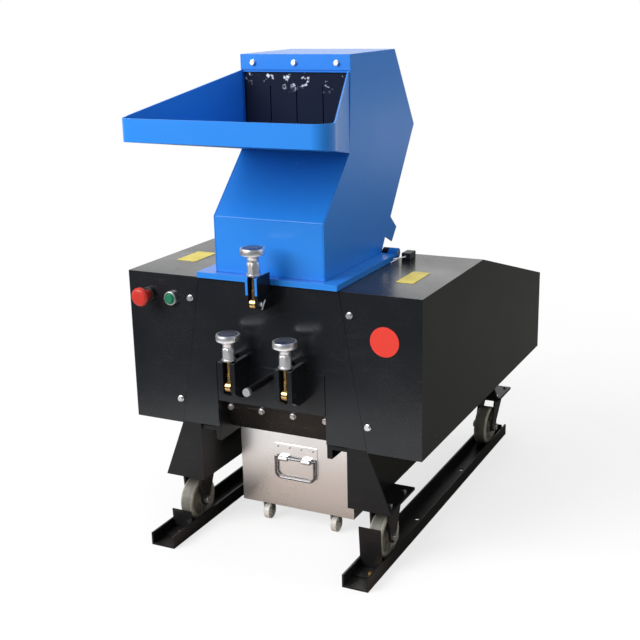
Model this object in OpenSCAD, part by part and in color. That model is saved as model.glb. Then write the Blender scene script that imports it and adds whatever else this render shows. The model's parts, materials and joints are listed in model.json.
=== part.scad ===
/* [Body] */
// Width over both side covers
body_w = 671; // [650:1:700]
// Length from the front plate to the rear of the side covers
body_len = 832; // [822:1:860]
// Height of the side covers from lower edge to flat top
cover_rise = 330; // [325:1:345]
// Sheet thickness of the side covers
cover_t = 3; // [2:0.5:4]
// Length of the flat part of the cover tops
cover_flat_len = 363; // [350:1:400]
// Drop of the sloping cover top down to the rear edge
cover_drop = 134; // [100:1:150]
// Half width of the front plate at its top edge
fascia_top_half = 160; // [158:0.5:164]
// Half width of the front plate at its lower edge
fascia_low_half = 217; // [212:1:222]
// Thickness of the front plate
fascia_t = 5; // [4:0.5:6]

/* [Feet] */
// Outer width of a skid channel
skid_w = 57; // [54:1:66]
// Height of a skid channel
skid_h = 28; // [24:1:32]
// Wall of a skid channel
skid_t = 4; // [3:0.5:5]
// Distance of a skid centre line from the middle
skid_x = 228.5; // [226:0.5:234]
// How far the skids reach in front of the front plate
skid_reach = 90; // [70:1:110]
// Radius of a caster wheel
wheel_r = 50; // [46:0.5:54]
// Width of a caster wheel
wheel_w = 32; // [28:1:34]
// Radius of a caster axle bolt
axle_r = 6; // [5:0.5:7]
// Distance of the front caster axles behind the front plate
front_axle_y = 57; // [54:1:66]
// Distance between the front and rear caster axles
axle_pitch = 682; // [670:1:690]
// Height of a leg above the caster
leg_rise = 129; // [124:1:140]
// Plate thickness of legs and casters
leg_t = 6; // [5:0.5:8]

/* [Chamber] */
// Inner width of the cutting chamber
chamber_w = 252; // [250:0.5:254]
// Thickness of the chamber side plates
plate_t = 12; // [10:0.5:12]
// Radius swept by the rotor knives
rotor_r = 89; // [84:0.5:90]
// Radius of the rotor shaft
shaft_r = 20; // [16:0.5:22]
// Depth of the rotor axis below the cover tops
rotor_drop = 118; // [116:0.5:122]
// Distance of the rotor axis behind the front plate
rotor_y = 155; // [153:0.5:157]
// Radius of the holes in the screen
screen_hole_r = 6; // [3:0.5:8]

/* [Hopper] */
// Outer width of the feed hopper
hopper_w = 250; // [244:1:252]
// Height of the whole hopper above its flange
hopper_rise = 430; // [420:1:450]
// Sheet thickness of hopper and tray
sheet_t = 3; // [2:0.5:4]
// How far the tray lip reaches in front of the front plate
tray_reach = 165; // [140:1:180]
// Height of the tray lip
lip_h = 44; // [38:1:52]
// Flare angle of the tray sides
tray_flare = 20; // [14:0.5:22]
// Corner radius of the tray
tray_corner_r = 32; // [24:1:45]

/* [Latches] */
// Distance of the latch bolts in front of the front plate
latch_y = 50; // [46:1:54]
// Distance of the lower latches from the middle
latch_x = 65; // [60:1:75]
// Radius of a latch rod
rod_r = 5; // [4:0.5:6]
// Distance from the eye pin to the seat of the knob
latch_reach = 56; // [54:1:60]
// Radius of a knob rim
knob_r = 25; // [22:0.5:28]
// Height of a knob
knob_h = 54; // [50:1:60]

/* [Bin] */
// Width of the collecting bin
bin_w = 276; // [250:1:290]
// Length of the collecting bin
bin_len = 333; // [300:1:340]
// Height of the bin body
bin_rise = 179; // [160:1:181]
// Radius of a bin wheel
bin_wheel_r = 18; // [16:0.5:19]

/* [Drive] */
// Radius of the rotor pulley
big_pulley_r = 100; // [90:1:110]
// Radius of the motor pulley
small_pulley_r = 45; // [40:1:50]
// Radius of the motor body
motor_r = 78; // [70:1:84]
// Distance of the motor axis behind the front plate
motor_y = 570; // [560:1:580]

/* [Controls] */
// Radius of the emergency stop mushroom
estop_r = 20; // [16:0.5:22]
// Radius of the start button bezel
bezel_r = 14.5; // [13:0.5:16]

/* [Hidden] */
$fn = 48;

// Gaps that are the same all over the machine
overrun = 2;
free_gap = 0.3;
run_gap = 0.05;
swing_gap = 1.5;
seam = 0.5;

// The front plate lies at this place so that the origin is the middle of the footprint
front_y = (tray_reach - body_len) / 2;

// Heights from the floor up
caster_plate_t = 4;
wheel_head_gap = 21;
axle_h = skid_t + wheel_r + free_gap;
foot_h = skid_t + 2 * wheel_r + wheel_head_gap + caster_plate_t;
cover_low_h = foot_h + leg_rise;
deck_h = cover_low_h + cover_rise;
rotor_h = deck_h - rotor_drop;
recess_rise = 153;
fascia_lift = 4;
recess_top_h = cover_low_h + recess_rise;
fascia_low_h = cover_low_h + fascia_lift;

// Widths from the middle outward
body_half = body_w / 2;
recess_half = 127;
chamber_half = chamber_w / 2;
chamber_outer = chamber_half + plate_t;
hopper_half = hopper_w / 2;
hopper_inner = hopper_half - sheet_t;
leg_inner = 173;
leg_outer = 269;
foot_outer = 267;
front_foot_len = 138;
rear_foot_len = 98;
rail_outer = 215;
motor_seat_drop = 43;
motor_seat_h = cover_low_h - motor_seat_drop;
bin_gap = 3;
rear_in = 1;

// Chamber walls, knives and screen
wall_t = 12;
rear_wall_y = 290;
chamber_rear_y = rear_wall_y + wall_t;
wall_reach = 40;
wall_low_h = rotor_h - wall_reach;
knife_gap = 1.5;
knife_t = 10;
knife_w = 40;
block_h = 20;
screen_t = 3.7;
sweep_gap = 9;
side_gap = 6;
screen_r = rotor_r + sweep_gap;
screen_half = chamber_half - side_gap;
cradle_ring_r = screen_r + screen_t + free_gap;
cradle_ring_w = 12;
cheek_t = 8;
screen_end = 20;
pivot_in = 2;
pivot_drop = 70;
pivot_y = rear_wall_y - pivot_in;
pivot_h = rotor_h - pivot_drop;
pivot_r = 6;
pivot_boss_r = 15;

// Rotor and drive, outward from the chamber
housing_t = 25;
housing_outer = chamber_outer + housing_t;
drive_gap = 4;
drive_x = housing_outer + drive_gap;
flywheel_w = 30;
flywheel_r = 112;
groove_w = 12;
groove_depth = 10;
groove_count = 2;
pulley_rim = 4;
pulley_w = groove_count * groove_w + (groove_count + 1) * pulley_rim;
belt_t = 8.7;
motor_plate_t = 8;
motor_axis_rise = 112;
motor_h = motor_seat_h + motor_plate_t + motor_axis_rise;
motor_left = -128;
motor_right = 112;
motor_shaft_r = 14;

// Hopper outline in the length and height plane
flange_t = 12;
flange_seat = 0.5;
flange_low_h = deck_h + flange_seat;
hopper_h = flange_low_h + flange_t;
top_h = hopper_h + hopper_rise;
base_front_y = 13;
fold_rise = 116;
neck_rise = 236.5;
belly_rise = 259.5;
fold_h = hopper_h + fold_rise;
neck_y = 137.4;
neck_h = hopper_h + neck_rise;
beam_y = 146.4;
beam_h = 31;
head_rear_y = 375.6;
belly_y = 487.7;
belly_h = hopper_h + belly_rise;
base_rear_y = 297.8;
flange_half = 160;
flange_front_y = -6.5;
hinge_y = 308;
barrel_r = 11;
hinge_h = flange_low_h + barrel_r + free_gap;
hinge_pin_r = 5;
lip_drop = 102.5;
lip_top_h = top_h - lip_drop;
lip_low_h = lip_top_h - lip_h;

// Hopper stops: an arm on each side plate meets a block behind the chamber
arm_far_y = 383;
arm_far_rise = 42;
arm_tip_y = 356.6;
arm_tip_rise = 13.2;
arm_low_y = 318.5;
arm_low_rise = 31.2;
arm_root_share = 0.272;
arm_far = [arm_far_y, hopper_h + arm_far_rise];
arm_tip = [arm_tip_y, hopper_h + arm_tip_rise];
arm_low = [arm_low_y, hopper_h + arm_low_rise];
stop_block_y = 341;
stop_block_h = 20;

// Latches
eye_r = 11;
eye_t = 12;
ear_half_gap = 7.5;
ear_t = 6;
low_ear_half_gap = 9;
low_ear_t = 10;
ear_reach = 62;
ear_tip_fall = 2.5;
washer_r = 15;
washer_t = 4;
top_seat_rise = 28;
low_seat_rise = 175;
top_seat_h = deck_h + top_seat_rise;
top_eye_h = top_seat_h - latch_reach;
low_seat_h = cover_low_h + low_seat_rise;
low_eye_h = low_seat_h - latch_reach;
rod_in_knob = 36;
knob_grip_share = 0.52;
knob_waist_share = 0.45;
knob_rim_share = 0.24;

// Cradle door
door_t = 5;
door_low_rise = 64;
door_gap = 1;
door_low_h = cover_low_h + door_low_rise;
door_top_h = recess_top_h - door_gap;
door_half = recess_half - swing_gap;
handle_r = 8;
handle_len = 97;
handle_drop = 23;
handle_h = recess_top_h - handle_drop;

// Sloping apron below the door
apron_y = 22;
apron_gap = 8;
apron_top_h = door_low_h - apron_gap;
apron_len = 76;
apron_tilt = 25.6;
apron_t = 3;
chute_t = 3;

// Bin
bin_y = 107.5;
bin_low_h = 47;
bin_t = 2;
bin_top_h = bin_low_h + bin_rise;
chute_low_h = bin_top_h + bin_gap;
bin_axle_in = 23;
bin_wheel_x = 84;
bin_wheel_w = 14;
bin_axle_r = 3;
bail_half = 50;
bail_r = 4;
bail_rise = 119;
bail_h = bin_low_h + bail_rise;
bail_drop = 44;
handle_plate_half = 52;
handle_plate_t = 2;

// Controls on the left cover
estop_x = -284;
estop_drop = 46;
start_drop = 51;
estop_h = deck_h - estop_drop;
start_x = -229;
start_h = deck_h - start_drop;
stem_r = 9;
button_depth = 42;

// Points of a vector turned to the left, and a sheet of even thickness along an open line
function unit(v) = v / norm(v);
function left_of(v) = [-v[1], v[0]];
function step_in(p, i, d) =
    let (j = max(i, 1), k = min(i + 1, len(p) - 1))
    let (a = unit(p[j] - p[j - 1]), b = unit(p[k] - p[k - 1]))
    p[i] + (left_of(a) + left_of(b)) * d / (1 + a * b);
function strip(p, t) = concat(p, [for (i = [len(p) - 1 : -1 : 0]) step_in(p, i, t)]);
function arc(c, r, from, to, n) = [for (i = [0 : n]) c + r * [cos(from + (to - from) * i / n),
    sin(from + (to - from) * i / n)]];

// Puts a piece measured from the front plate into the frame of the machine
module from_front() {
    translate([0, front_y, 0]) children();
}

// A piece and its mirror image on the other side
module both_sides() {
    children();
    mirror([1, 0, 0]) children();
}

// A box between two corners
module slab(low, high) {
    translate(low) cube(high - low);
}

// Round bars along the three axes
module bar_x(r, x0, x1, y, z) {
    translate([x0, y, z]) rotate([0, 90, 0]) cylinder(h = x1 - x0, r = r);
}

module bar_y(r, y0, y1, x, z) {
    translate([x, y1, z]) rotate([90, 0, 0]) cylinder(h = y1 - y0, r = r);
}

module bar_z(r, z0, z1, x, y) {
    translate([x, y, z0]) cylinder(h = z1 - z0, r = r);
}

// An outline of length and height, as thick as the span from x0 to x1
module across(x0, x1) {
    translate([x0, 0, 0]) rotate([90, 0, 90]) linear_extrude(x1 - x0) children();
}

// An outline of width and height, as thick as the span from y0 to y1
module along(y0, y1) {
    translate([0, y1, 0]) rotate([90, 0, 0]) linear_extrude(y1 - y0) children();
}

// Hexagon bolt with a washer, its head to the front, seated at the origin
bolt_r = 3;
bolt_head_r = 6;
bolt_head_h = 4.5;
bolt_washer_r = 7;
bolt_washer_t = 1.2;
bolt_len = 10;
bolt_hole_r = bolt_r + free_gap;

module bolt() {
    rotate([90, 0, 0]) cylinder(h = bolt_washer_t, r = bolt_washer_r);
    translate([0, -bolt_washer_t, 0]) rotate([90, 0, 0]) cylinder(h = bolt_head_h, r = bolt_head_r, $fn = 6);
    bar_y(bolt_r, -bolt_washer_t, bolt_len, 0, 0);
}

// Skid channels with the stops that hold the wheels
anchor_r = 6;
anchor_front_y = 250;
anchor_pitch = 300;
stop_t = 3;
stop_foot = 42;
stop_half = skid_w / 2 - skid_t - free_gap;
stop_gap = 12;
skid_end_in = 2;
rear_stop_in = 25;
stop_front_y = front_axle_y - wheel_r - stop_gap;
skid_rear_y = body_len - skid_end_in;
stop_rear_y = skid_rear_y - rear_stop_in;
left_stop_h = 48;
right_stop_h = 96;
stop_lean = 5;
rear_stop_h = 30;
front_bolt_share = 0.6;
rear_bolt_share = 0.3;
bolt_side_share = 0.3;

module channel() {
    difference() {
        slab([-skid_w / 2, -skid_reach, 0], [skid_w / 2, skid_rear_y, skid_h]);
        slab([-skid_w / 2 + skid_t, -skid_reach - overrun, skid_t],
            [skid_w / 2 - skid_t, skid_rear_y + overrun, skid_h + overrun]);
        for (y = [anchor_front_y, anchor_front_y + anchor_pitch]) {
            bar_z(anchor_r, -overrun, skid_t + overrun, 0, y);
        }
        stop_bolt_places() bar_z(bolt_hole_r, -overrun, skid_t + overrun, 0, 0);
    }
}

module stop_bolt_places() {
    for (y = [stop_front_y - stop_foot * front_bolt_share, stop_rear_y + stop_foot * rear_bolt_share]) {
        translate([stop_half * bolt_side_share, y, 0]) children();
    }
}

module front_stop(h) {
    difference() {
        translate([0, stop_front_y, skid_t]) across(-stop_half, stop_half)
            polygon(strip([[-stop_foot, 0], [0, 0], [-h * tan(stop_lean), h]], stop_t));
        translate([0, 0, skid_t]) stop_bolt_places() bar_z(bolt_hole_r, -overrun, stop_t + overrun, 0, 0);
    }
}

module rear_stop() {
    difference() {
        translate([0, stop_rear_y, skid_t]) across(-stop_half, stop_half)
            polygon(strip([[0, rear_stop_h], [0, 0], [stop_foot / 2, 0]], stop_t));
        translate([0, 0, skid_t]) stop_bolt_places() bar_z(bolt_hole_r, -overrun, stop_t + overrun, 0, 0);
    }
}

module skids() {
    color("#1b1c1e") from_front() {
        for (side = [-1, 1]) {
            translate([side * skid_x, 0, 0]) {
                channel();
                front_stop(side < 0 ? left_stop_h : right_stop_h);
                rear_stop();
            }
        }
    }
}

// Bolts that hold the wheel stops and the caster plates
caster_plate_x = 35;
caster_plate_y = 47;
caster_bolt_x = 26;
caster_bolt_y = 38;
front_plate_y = front_foot_len / 2;
rear_plate_y = body_len - rear_foot_len / 2 - rear_in;
small_bolt_r = 3;
small_nut_r = 5.5;
small_nut_h = 4;

module plate_bolt(thick) {
    bar_z(small_bolt_r, 0, thick + small_nut_h + seam, 0, 0);
    translate([0, 0, thick]) cylinder(h = small_nut_h, r = small_nut_r, $fn = 6);
}

module caster_bolt_places() {
    for (side = [-1, 1]) {
        for (y = [front_plate_y, rear_plate_y]) {
            for (x = [-caster_bolt_x, caster_bolt_x]) {
                for (j = [-caster_bolt_y, caster_bolt_y]) {
                    translate([side * skid_x + x, y + j, 0]) children();
                }
            }
        }
    }
}

module foot_bolts() {
    color("#b9bcc0") from_front() {
        for (side = [-1, 1]) {
            translate([side * skid_x, 0, skid_t]) stop_bolt_places() plate_bolt(stop_t);
        }
        caster_bolt_places() translate([0, 0, foot_h - caster_plate_t]) plate_bolt(caster_plate_t + leg_t);
    }
}

// Caster forks, whose legs lead from the middle of the plate to the axle
fork_t = 4;
fork_gap = 3;
fork_half = wheel_w / 2 + fork_gap;
fork_top_half = 34;
fork_low_r = 14;

module fork_leg(plate_y, axle_y) {
    across(fork_half, fork_half + fork_t) difference() {
        union() {
            polygon([[plate_y - fork_top_half, foot_h - caster_plate_t], [axle_y - fork_low_r, axle_h],
                [axle_y + fork_low_r, axle_h], [plate_y + fork_top_half, foot_h - caster_plate_t]]);
            translate([axle_y, axle_h]) circle(r = fork_low_r);
        }
        translate([axle_y, axle_h]) circle(r = axle_r);
    }
}

module caster_forks() {
    color("#26282b") from_front() {
        for (side = [-1, 1]) {
            translate([side * skid_x, 0, 0]) both_sides() {
                fork_leg(front_plate_y, front_axle_y);
                fork_leg(rear_plate_y, front_axle_y + axle_pitch);
            }
        }
        difference() {
            both_sides() for (y = [front_plate_y, rear_plate_y]) {
                slab([skid_x - caster_plate_x, y - caster_plate_y, foot_h - caster_plate_t],
                    [skid_x + caster_plate_x, y + caster_plate_y, foot_h]);
            }
            caster_bolt_places()
                bar_z(small_bolt_r, foot_h - caster_plate_t - overrun, foot_h + overrun, 0, 0);
        }
    }
}

// Axle bolts, head outward and nut inward
axle_head_h = 8;
axle_head_r = 9.5;

module caster_axles() {
    color("#a8abb0") from_front() for (side = [-1, 1]) {
        for (y = [front_axle_y, front_axle_y + axle_pitch]) {
            translate([side * skid_x, y, axle_h]) scale([side, 1, 1]) {
                bar_x(axle_r, -fork_half - fork_t, fork_half + fork_t, 0, 0);
                translate([fork_half + fork_t, 0, 0]) rotate([0, 90, 0])
                    cylinder(h = axle_head_h, r = axle_head_r, $fn = 6);
                translate([-fork_half - fork_t - axle_head_h, 0, 0]) rotate([0, 90, 0])
                    cylinder(h = axle_head_h, r = axle_head_r, $fn = 6);
            }
        }
    }
}

// Caster wheel with a raised hub and two grooves beside the tread
hub_r = 16;
rim_in = 7;

module wheel(r, w, bore, hub, inset) {
    rotate([0, 90, 0]) rotate_extrude() polygon([[bore, -w / 2], [hub, -w / 2], [hub, -w / 2 + inset],
        [r - 2 * inset, -w / 2 + inset], [r - inset, -w / 2], [r - inset / 2, -w / 2],
        [r, -w / 2 + inset / 2], [r, w / 2 - inset / 2], [r - inset / 2, w / 2], [r - inset, w / 2],
        [r - 2 * inset, w / 2 - inset],
        [hub, w / 2 - inset], [hub, w / 2], [bore, w / 2]]);
}

module caster_wheel(side, y) {
    color("#c9c3a8") from_front() translate([side * skid_x, y, axle_h])
        wheel(wheel_r, wheel_w, axle_r + run_gap, hub_r, rim_in);
}

module front_left_wheel() {
    caster_wheel(-1, front_axle_y);
}

module front_right_wheel() {
    caster_wheel(1, front_axle_y);
}

module rear_left_wheel() {
    caster_wheel(-1, front_axle_y + axle_pitch);
}

module rear_right_wheel() {
    caster_wheel(1, front_axle_y + axle_pitch);
}

// Legs: a flared plate in the plane of the front plate and a foot plate beside the rail
leg_low_y = body_len - rear_in - rear_foot_len;

module legs() {
    color("#17181a") from_front() difference() {
        both_sides() {
            along(0, fascia_t) polygon([[leg_inner, foot_h], [leg_outer, foot_h],
                [fascia_low_half, fascia_low_h], [leg_inner, fascia_low_h]]);
            slab([rail_outer, fascia_t, foot_h], [foot_outer, front_foot_len, foot_h + leg_t]);
            along(leg_low_y, leg_low_y + fascia_t) polygon([[rail_outer, foot_h],
                [leg_outer - leg_t, foot_h], [fascia_low_half, cover_low_h], [rail_outer, cover_low_h]]);
            slab([rail_outer, leg_low_y + fascia_t, foot_h],
                [foot_outer, leg_low_y + rear_foot_len, foot_h + leg_t]);
        }
        caster_bolt_places() bar_z(small_bolt_r, foot_h - overrun, foot_h + leg_t + overrun, 0, 0);
    }
}

// Box rails along both sides, with a shelf that carries the chamber
shelf_t = 8;

module side_rails() {
    color("#17181a") from_front() difference() {
        both_sides() {
            difference() {
                slab([leg_inner, fascia_t, foot_h], [rail_outer, body_len - rear_in, cover_low_h]);
                slab([leg_inner + leg_t, fascia_t + leg_t, foot_h + leg_t],
                    [rail_outer - leg_t, body_len - rear_in - leg_t, cover_low_h - leg_t]);
            }
            slab([chamber_outer, fascia_t, cover_low_h - shelf_t], [leg_inner, chamber_rear_y, cover_low_h]);
        }
        caster_bolt_places() bar_z(small_bolt_r, foot_h - overrun, foot_h + leg_t + overrun, 0, 0);
    }
}

// Plate that carries the motor between the rails
motor_plate_front_y = 452;
motor_plate_rear_y = 700;
motor_bolt_x = 80;
motor_bolt_y = 90;

module motor_bolt_places() {
    for (x = [-motor_bolt_x, motor_bolt_x]) {
        for (y = [-motor_bolt_y, motor_bolt_y]) {
            translate([x + (motor_left + motor_right) / 2, motor_y + y, 0]) children();
        }
    }
}

module motor_plate() {
    color("#1b1c1e") from_front() difference() {
        slab([-leg_inner, motor_plate_front_y, motor_seat_h],
            [leg_inner, motor_plate_rear_y, motor_seat_h + motor_plate_t]);
        motor_bolt_places()
            bar_z(small_bolt_r, motor_seat_h - overrun, motor_seat_h + motor_plate_t + overrun, 0, 0);
    }
}

// Outline of the split between front plate and side covers, from top to bottom
split_mid_share = 0.576;
split_low_share = 0.404;
split_h = cover_low_h + cover_rise * split_mid_share;
split_half = fascia_top_half + (fascia_low_half - fascia_top_half) * split_low_share;
function split_line(out, upper_h = deck_h) = [[fascia_top_half + out, upper_h],
    [split_half + out, split_h], [fascia_low_half + out, fascia_low_h]];

// Places of the bolts that hold the side covers
top_bolt_x = 183;
top_bolt_drop = 47;
low_bolt_x = 220;
low_bolt_rise = 55;
cover_bolt_top = [top_bolt_x, deck_h - top_bolt_drop];
cover_bolt_low = [low_bolt_x, cover_low_h + low_bolt_rise];

module cover_bolt_places() {
    for (p = [cover_bolt_top, cover_bolt_low]) {
        translate([p[0], 0, p[1]]) children();
    }
}

// Front plate with the clevis of the top latch
backing_t = 4;
backing_w = 26;
backing_top_h = deck_h - cover_t - seam;
ear_root_drop = 17;
ear_tip_drop = 4;
ear_split_drop = 10;
ear_slope_share = 0.6;

module front_fascia() {
    color("#141517") from_front() {
        along(0, fascia_t) polygon(concat([[0, deck_h]], split_line(0),
            [[recess_half, fascia_low_h], [recess_half, recess_top_h], [0, recess_top_h]]));
        mirror([1, 0, 0]) along(0, fascia_t) polygon(concat([[0, deck_h]], split_line(0),
            [[recess_half, fascia_low_h], [recess_half, recess_top_h], [0, recess_top_h]]));
        both_sides() difference() {
            along(fascia_t, fascia_t + backing_t) polygon(concat(split_line(backing_w, backing_top_h),
                [for (i = [2 : -1 : 0]) split_line(-backing_w / 3, backing_top_h)[i]]));
            cover_bolt_places() bar_y(bolt_r, 0, 2 * fascia_t + backing_t, 0, 0);
        }
        both_sides() across(ear_half_gap, ear_half_gap + ear_t) difference() {
            polygon([[0, top_eye_h - ear_root_drop],
                [-ear_reach * ear_slope_share, top_eye_h - ear_root_drop],
                [-ear_reach, top_eye_h - ear_tip_drop], [-ear_reach, deck_h - ear_split_drop],
                [0, deck_h - ear_split_drop]]);
            translate([-latch_y, top_eye_h]) circle(r = rod_r);
        }
    }
}

// Slotted ears that the knob of the top latch presses on
module top_latch_ears() {
    root_y = flange_front_y - swing_gap;
    color("#1f6be0") from_front() both_sides() across(ear_half_gap, ear_half_gap + ear_t)
        polygon([[-ear_reach, deck_h - ear_split_drop], [root_y, deck_h - ear_split_drop],
            [root_y, top_seat_h], [-latch_y, top_seat_h], [-ear_reach, top_seat_h - ear_tip_fall]]);
}

// Side plates of the cutting chamber, each with a lug of the hopper hinge
housing_hole_r = 30;

module chamber_plates() {
    color("#232528") from_front() both_sides() across(chamber_half, chamber_outer) difference() {
        union() {
            polygon([[fascia_t, chute_low_h], [chamber_rear_y, chute_low_h],
                [chamber_rear_y, deck_h - 4 * barrel_r], [hinge_y + barrel_r, deck_h - barrel_r],
                [hinge_y + barrel_r, hinge_h], [hinge_y - barrel_r, hinge_h], [hinge_y - barrel_r, deck_h],
                [fascia_t, deck_h]]);
            translate([hinge_y, hinge_h]) circle(r = barrel_r);
        }
        translate([hinge_y, hinge_h]) circle(r = hinge_pin_r);
        translate([rotor_y, rotor_h]) circle(r = housing_hole_r);
        translate([pivot_y, pivot_h]) circle(r = pivot_r);
    }
}

// Front and rear walls with the knife blocks and the hopper stops
block_gap = 8;
front_block_y = rotor_y - rotor_r - block_gap;
rear_block_y = rotor_y + rotor_r + block_gap;
block_top_h = rotor_h - knife_t;

module chamber_walls() {
    color("#232528") from_front() {
        slab([-chamber_half, fascia_t, wall_low_h], [chamber_half, fascia_t + wall_t, deck_h]);
        slab([-chamber_half, fascia_t + wall_t, block_top_h - block_h],
            [chamber_half, front_block_y, block_top_h]);
        slab([-chamber_half, rear_wall_y, wall_low_h], [chamber_half, chamber_rear_y, deck_h]);
        slab([-chamber_half, rear_block_y, block_top_h - block_h], [chamber_half, rear_wall_y, block_top_h]);
        both_sides() slab([hopper_inner - cheek_t, chamber_rear_y, deck_h - stop_block_h],
            [chamber_half, stop_block_y, deck_h]);
    }
}

// Fixed knives on their blocks, with their bolts
knife_front_y = rotor_y - rotor_r - knife_gap;
knife_rear_y = rotor_y + rotor_r + knife_gap;
knife_bolt_pitch = 56;
knife_bolt_in = 24;
four_in_row = [-1.5 : 1 : 1.5];

module bed_knives() {
    color("#9a9da2") from_front() {
        slab([-chamber_half, knife_front_y - knife_w, block_top_h], [chamber_half, knife_front_y, rotor_h]);
        slab([-chamber_half, knife_rear_y, block_top_h], [chamber_half, knife_rear_y + knife_w, rotor_h]);
        for (x = four_in_row) {
            for (y = [knife_front_y - knife_bolt_in, knife_rear_y + knife_bolt_in]) {
                translate([x * knife_bolt_pitch, y, rotor_h])
                    cylinder(h = small_nut_h, r = small_nut_r, $fn = 6);
            }
        }
    }
}

// Bearing housings outside the chamber
housing_half = 52;
housing_flange_t = 12;
housing_boss_r = 40;

module bearing_housings() {
    color("#3a3d40") from_front() both_sides() difference() {
        union() {
            slab([chamber_outer, rotor_y - housing_half, rotor_h - housing_half],
                [chamber_outer + housing_flange_t, rotor_y + housing_half, rotor_h + housing_half]);
            bar_x(housing_boss_r, chamber_outer, housing_outer, rotor_y, rotor_h);
        }
        bar_x(shaft_r + run_gap, chamber_outer - overrun, housing_outer + overrun, rotor_y, rotor_h);
    }
}

// Sloping apron under the cradle door
apron_bolt_pitch = 75;
apron_bolt_drop = 15;

module apron_frame() {
    translate([0, apron_y, apron_top_h]) rotate([apron_tilt, 0, 0]) children();
}

module apron_bolt_places() {
    for (i = four_in_row) {
        translate([i * apron_bolt_pitch, 0, -apron_bolt_drop]) children();
    }
}

module front_apron() {
    color("#2b2c2d") from_front() {
        apron_frame() difference() {
            slab([-chamber_half, 0, -apron_len], [chamber_half, apron_t, 0]);
            apron_bolt_places() bar_y(bolt_hole_r, -overrun, apron_t + overrun, 0, 0);
        }
    }
}

// Chute between chamber and bin
chute_back = 6;
chute_in = 5;
chute_rear_y = rear_wall_y + chute_back;
chute_front_y = bin_y + chute_in;
chute_rear_top_h = pivot_h - pivot_boss_r - chute_in;
apron_end_y = apron_y + apron_len * sin(apron_tilt) + apron_t;
apron_end_h = apron_top_h - apron_len * cos(apron_tilt);

module discharge_chute() {
    color("#2b2c2d") from_front() {
        across(-chamber_half, chamber_half) polygon(strip([[apron_end_y, apron_end_h],
            [chute_front_y, chute_low_h]], chute_t));
        slab([-chamber_half, chute_rear_y, chute_low_h],
            [chamber_half, chute_rear_y + chute_t, chute_rear_top_h]);
        both_sides() slab([chamber_half - chute_t, chute_front_y, chute_low_h],
            [chamber_half, chute_rear_y, cover_low_h]);
    }
}

// Side covers: folded sheet boxes, open only beside the chamber
cover_floor_half = rail_outer + seam;
cover_profile = [[0, cover_low_h], [body_len, cover_low_h], [body_len, deck_h - cover_drop],
    [cover_flat_len, deck_h], [0, deck_h]];
inner_wall_gap = 10;
inner_wall_y = chamber_rear_y + inner_wall_gap;
inner_wall_x = flange_half + seam;
shaft_hole_r = 26;

module cover_skin() {
    across(inner_wall_x, body_half) polygon(cover_profile);
}

module cover_hollow() {
    across(inner_wall_x - overrun, body_half - cover_t) polygon([[cover_t, cover_low_h + cover_t],
        [body_len - cover_t, cover_low_h + cover_t], [body_len - cover_t, deck_h - cover_drop - cover_t],
        [cover_flat_len, deck_h - cover_t], [cover_t, deck_h - cover_t]]);
}

module side_cover() {
    difference() {
        cover_skin();
        cover_hollow();
        along(-overrun, cover_t + overrun) polygon([[0, fascia_low_h - 2 * overrun],
            [fascia_low_half + seam, fascia_low_h - 2 * overrun], [fascia_low_half + seam, fascia_low_h],
            [split_half + seam, split_h], [fascia_top_half + seam, deck_h + overrun],
            [0, deck_h + overrun]]);
        slab([0, cover_t, cover_low_h - overrun], [cover_floor_half, inner_wall_y, cover_low_h + cover_t]);
        cover_bolt_places() bar_y(bolt_hole_r, -overrun, cover_t + overrun, 0, 0);
    }
}

module inner_wall() {
    across(inner_wall_x, inner_wall_x + cover_t) polygon([[inner_wall_y, cover_low_h + cover_t],
        [body_len - cover_t, cover_low_h + cover_t], [body_len - cover_t, deck_h - cover_drop - cover_t],
        [cover_flat_len, deck_h - cover_t], [inner_wall_y, deck_h - cover_t]]);
}

gland_r = 11;
gland_before = 120;
gland_rise = 60;
gland_y = motor_y - gland_before;
gland_h = cover_low_h + gland_rise;
gland_len = 14;

module left_cover() {
    color("#141517") from_front() {
        difference() {
            mirror([1, 0, 0]) side_cover();
            bar_y(stem_r + free_gap, -overrun, cover_t + overrun, estop_x, estop_h);
            bar_y(stem_r + free_gap, -overrun, cover_t + overrun, start_x, start_h);
        }
        difference() {
            union() {
                mirror([1, 0, 0]) inner_wall();
                bar_x(gland_r, -inner_wall_x, gland_len - inner_wall_x, gland_y, gland_h);
            }
            bar_x(gland_r / 2, -inner_wall_x - cover_t - overrun, gland_len - inner_wall_x + overrun,
                gland_y, gland_h);
        }
    }
}

module right_cover() {
    color("#141517") from_front() {
        side_cover();
        difference() {
            inner_wall();
            bar_x(shaft_hole_r, inner_wall_x - overrun, inner_wall_x + cover_t + overrun, motor_y, motor_h);
        }
    }
}

// Bright bolts of the side covers and the apron
module body_bolts() {
    color("#d4d6d9") from_front() {
        for (side = [-1, 1]) {
            for (p = [cover_bolt_top, cover_bolt_low]) {
                translate([side * p[0], 0, p[1]]) bolt();
            }
        }
        apron_frame() apron_bolt_places() bolt();
    }
}

// Collars of the emergency stop and the start button, with their bodies behind the panel
collar_h = 9;

module control_bezels() {
    color("#b9bcc0") from_front() for (p = [[estop_x, estop_h], [start_x, start_h]]) {
        difference() {
            union() {
                bar_y(bezel_r, -collar_h, 0, p[0], p[1]);
                bar_y(bezel_r, cover_t, button_depth, p[0], p[1]);
                bar_y(stem_r + free_gap, 0, cover_t, p[0], p[1]);
            }
            bar_y(stem_r, -collar_h - overrun, button_depth / 2, p[0], p[1]);
        }
    }
}

// Emergency stop mushroom and start button
estop_reach = 45;
estop_rim = 9;
estop_dome = 6;
estop_travel = 6;
start_reach = 12;
start_round = 1;
stem_gap = 1;
estop_root = 2;
dome_wide_share = 0.8;
dome_narrow_share = 0.4;

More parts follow.
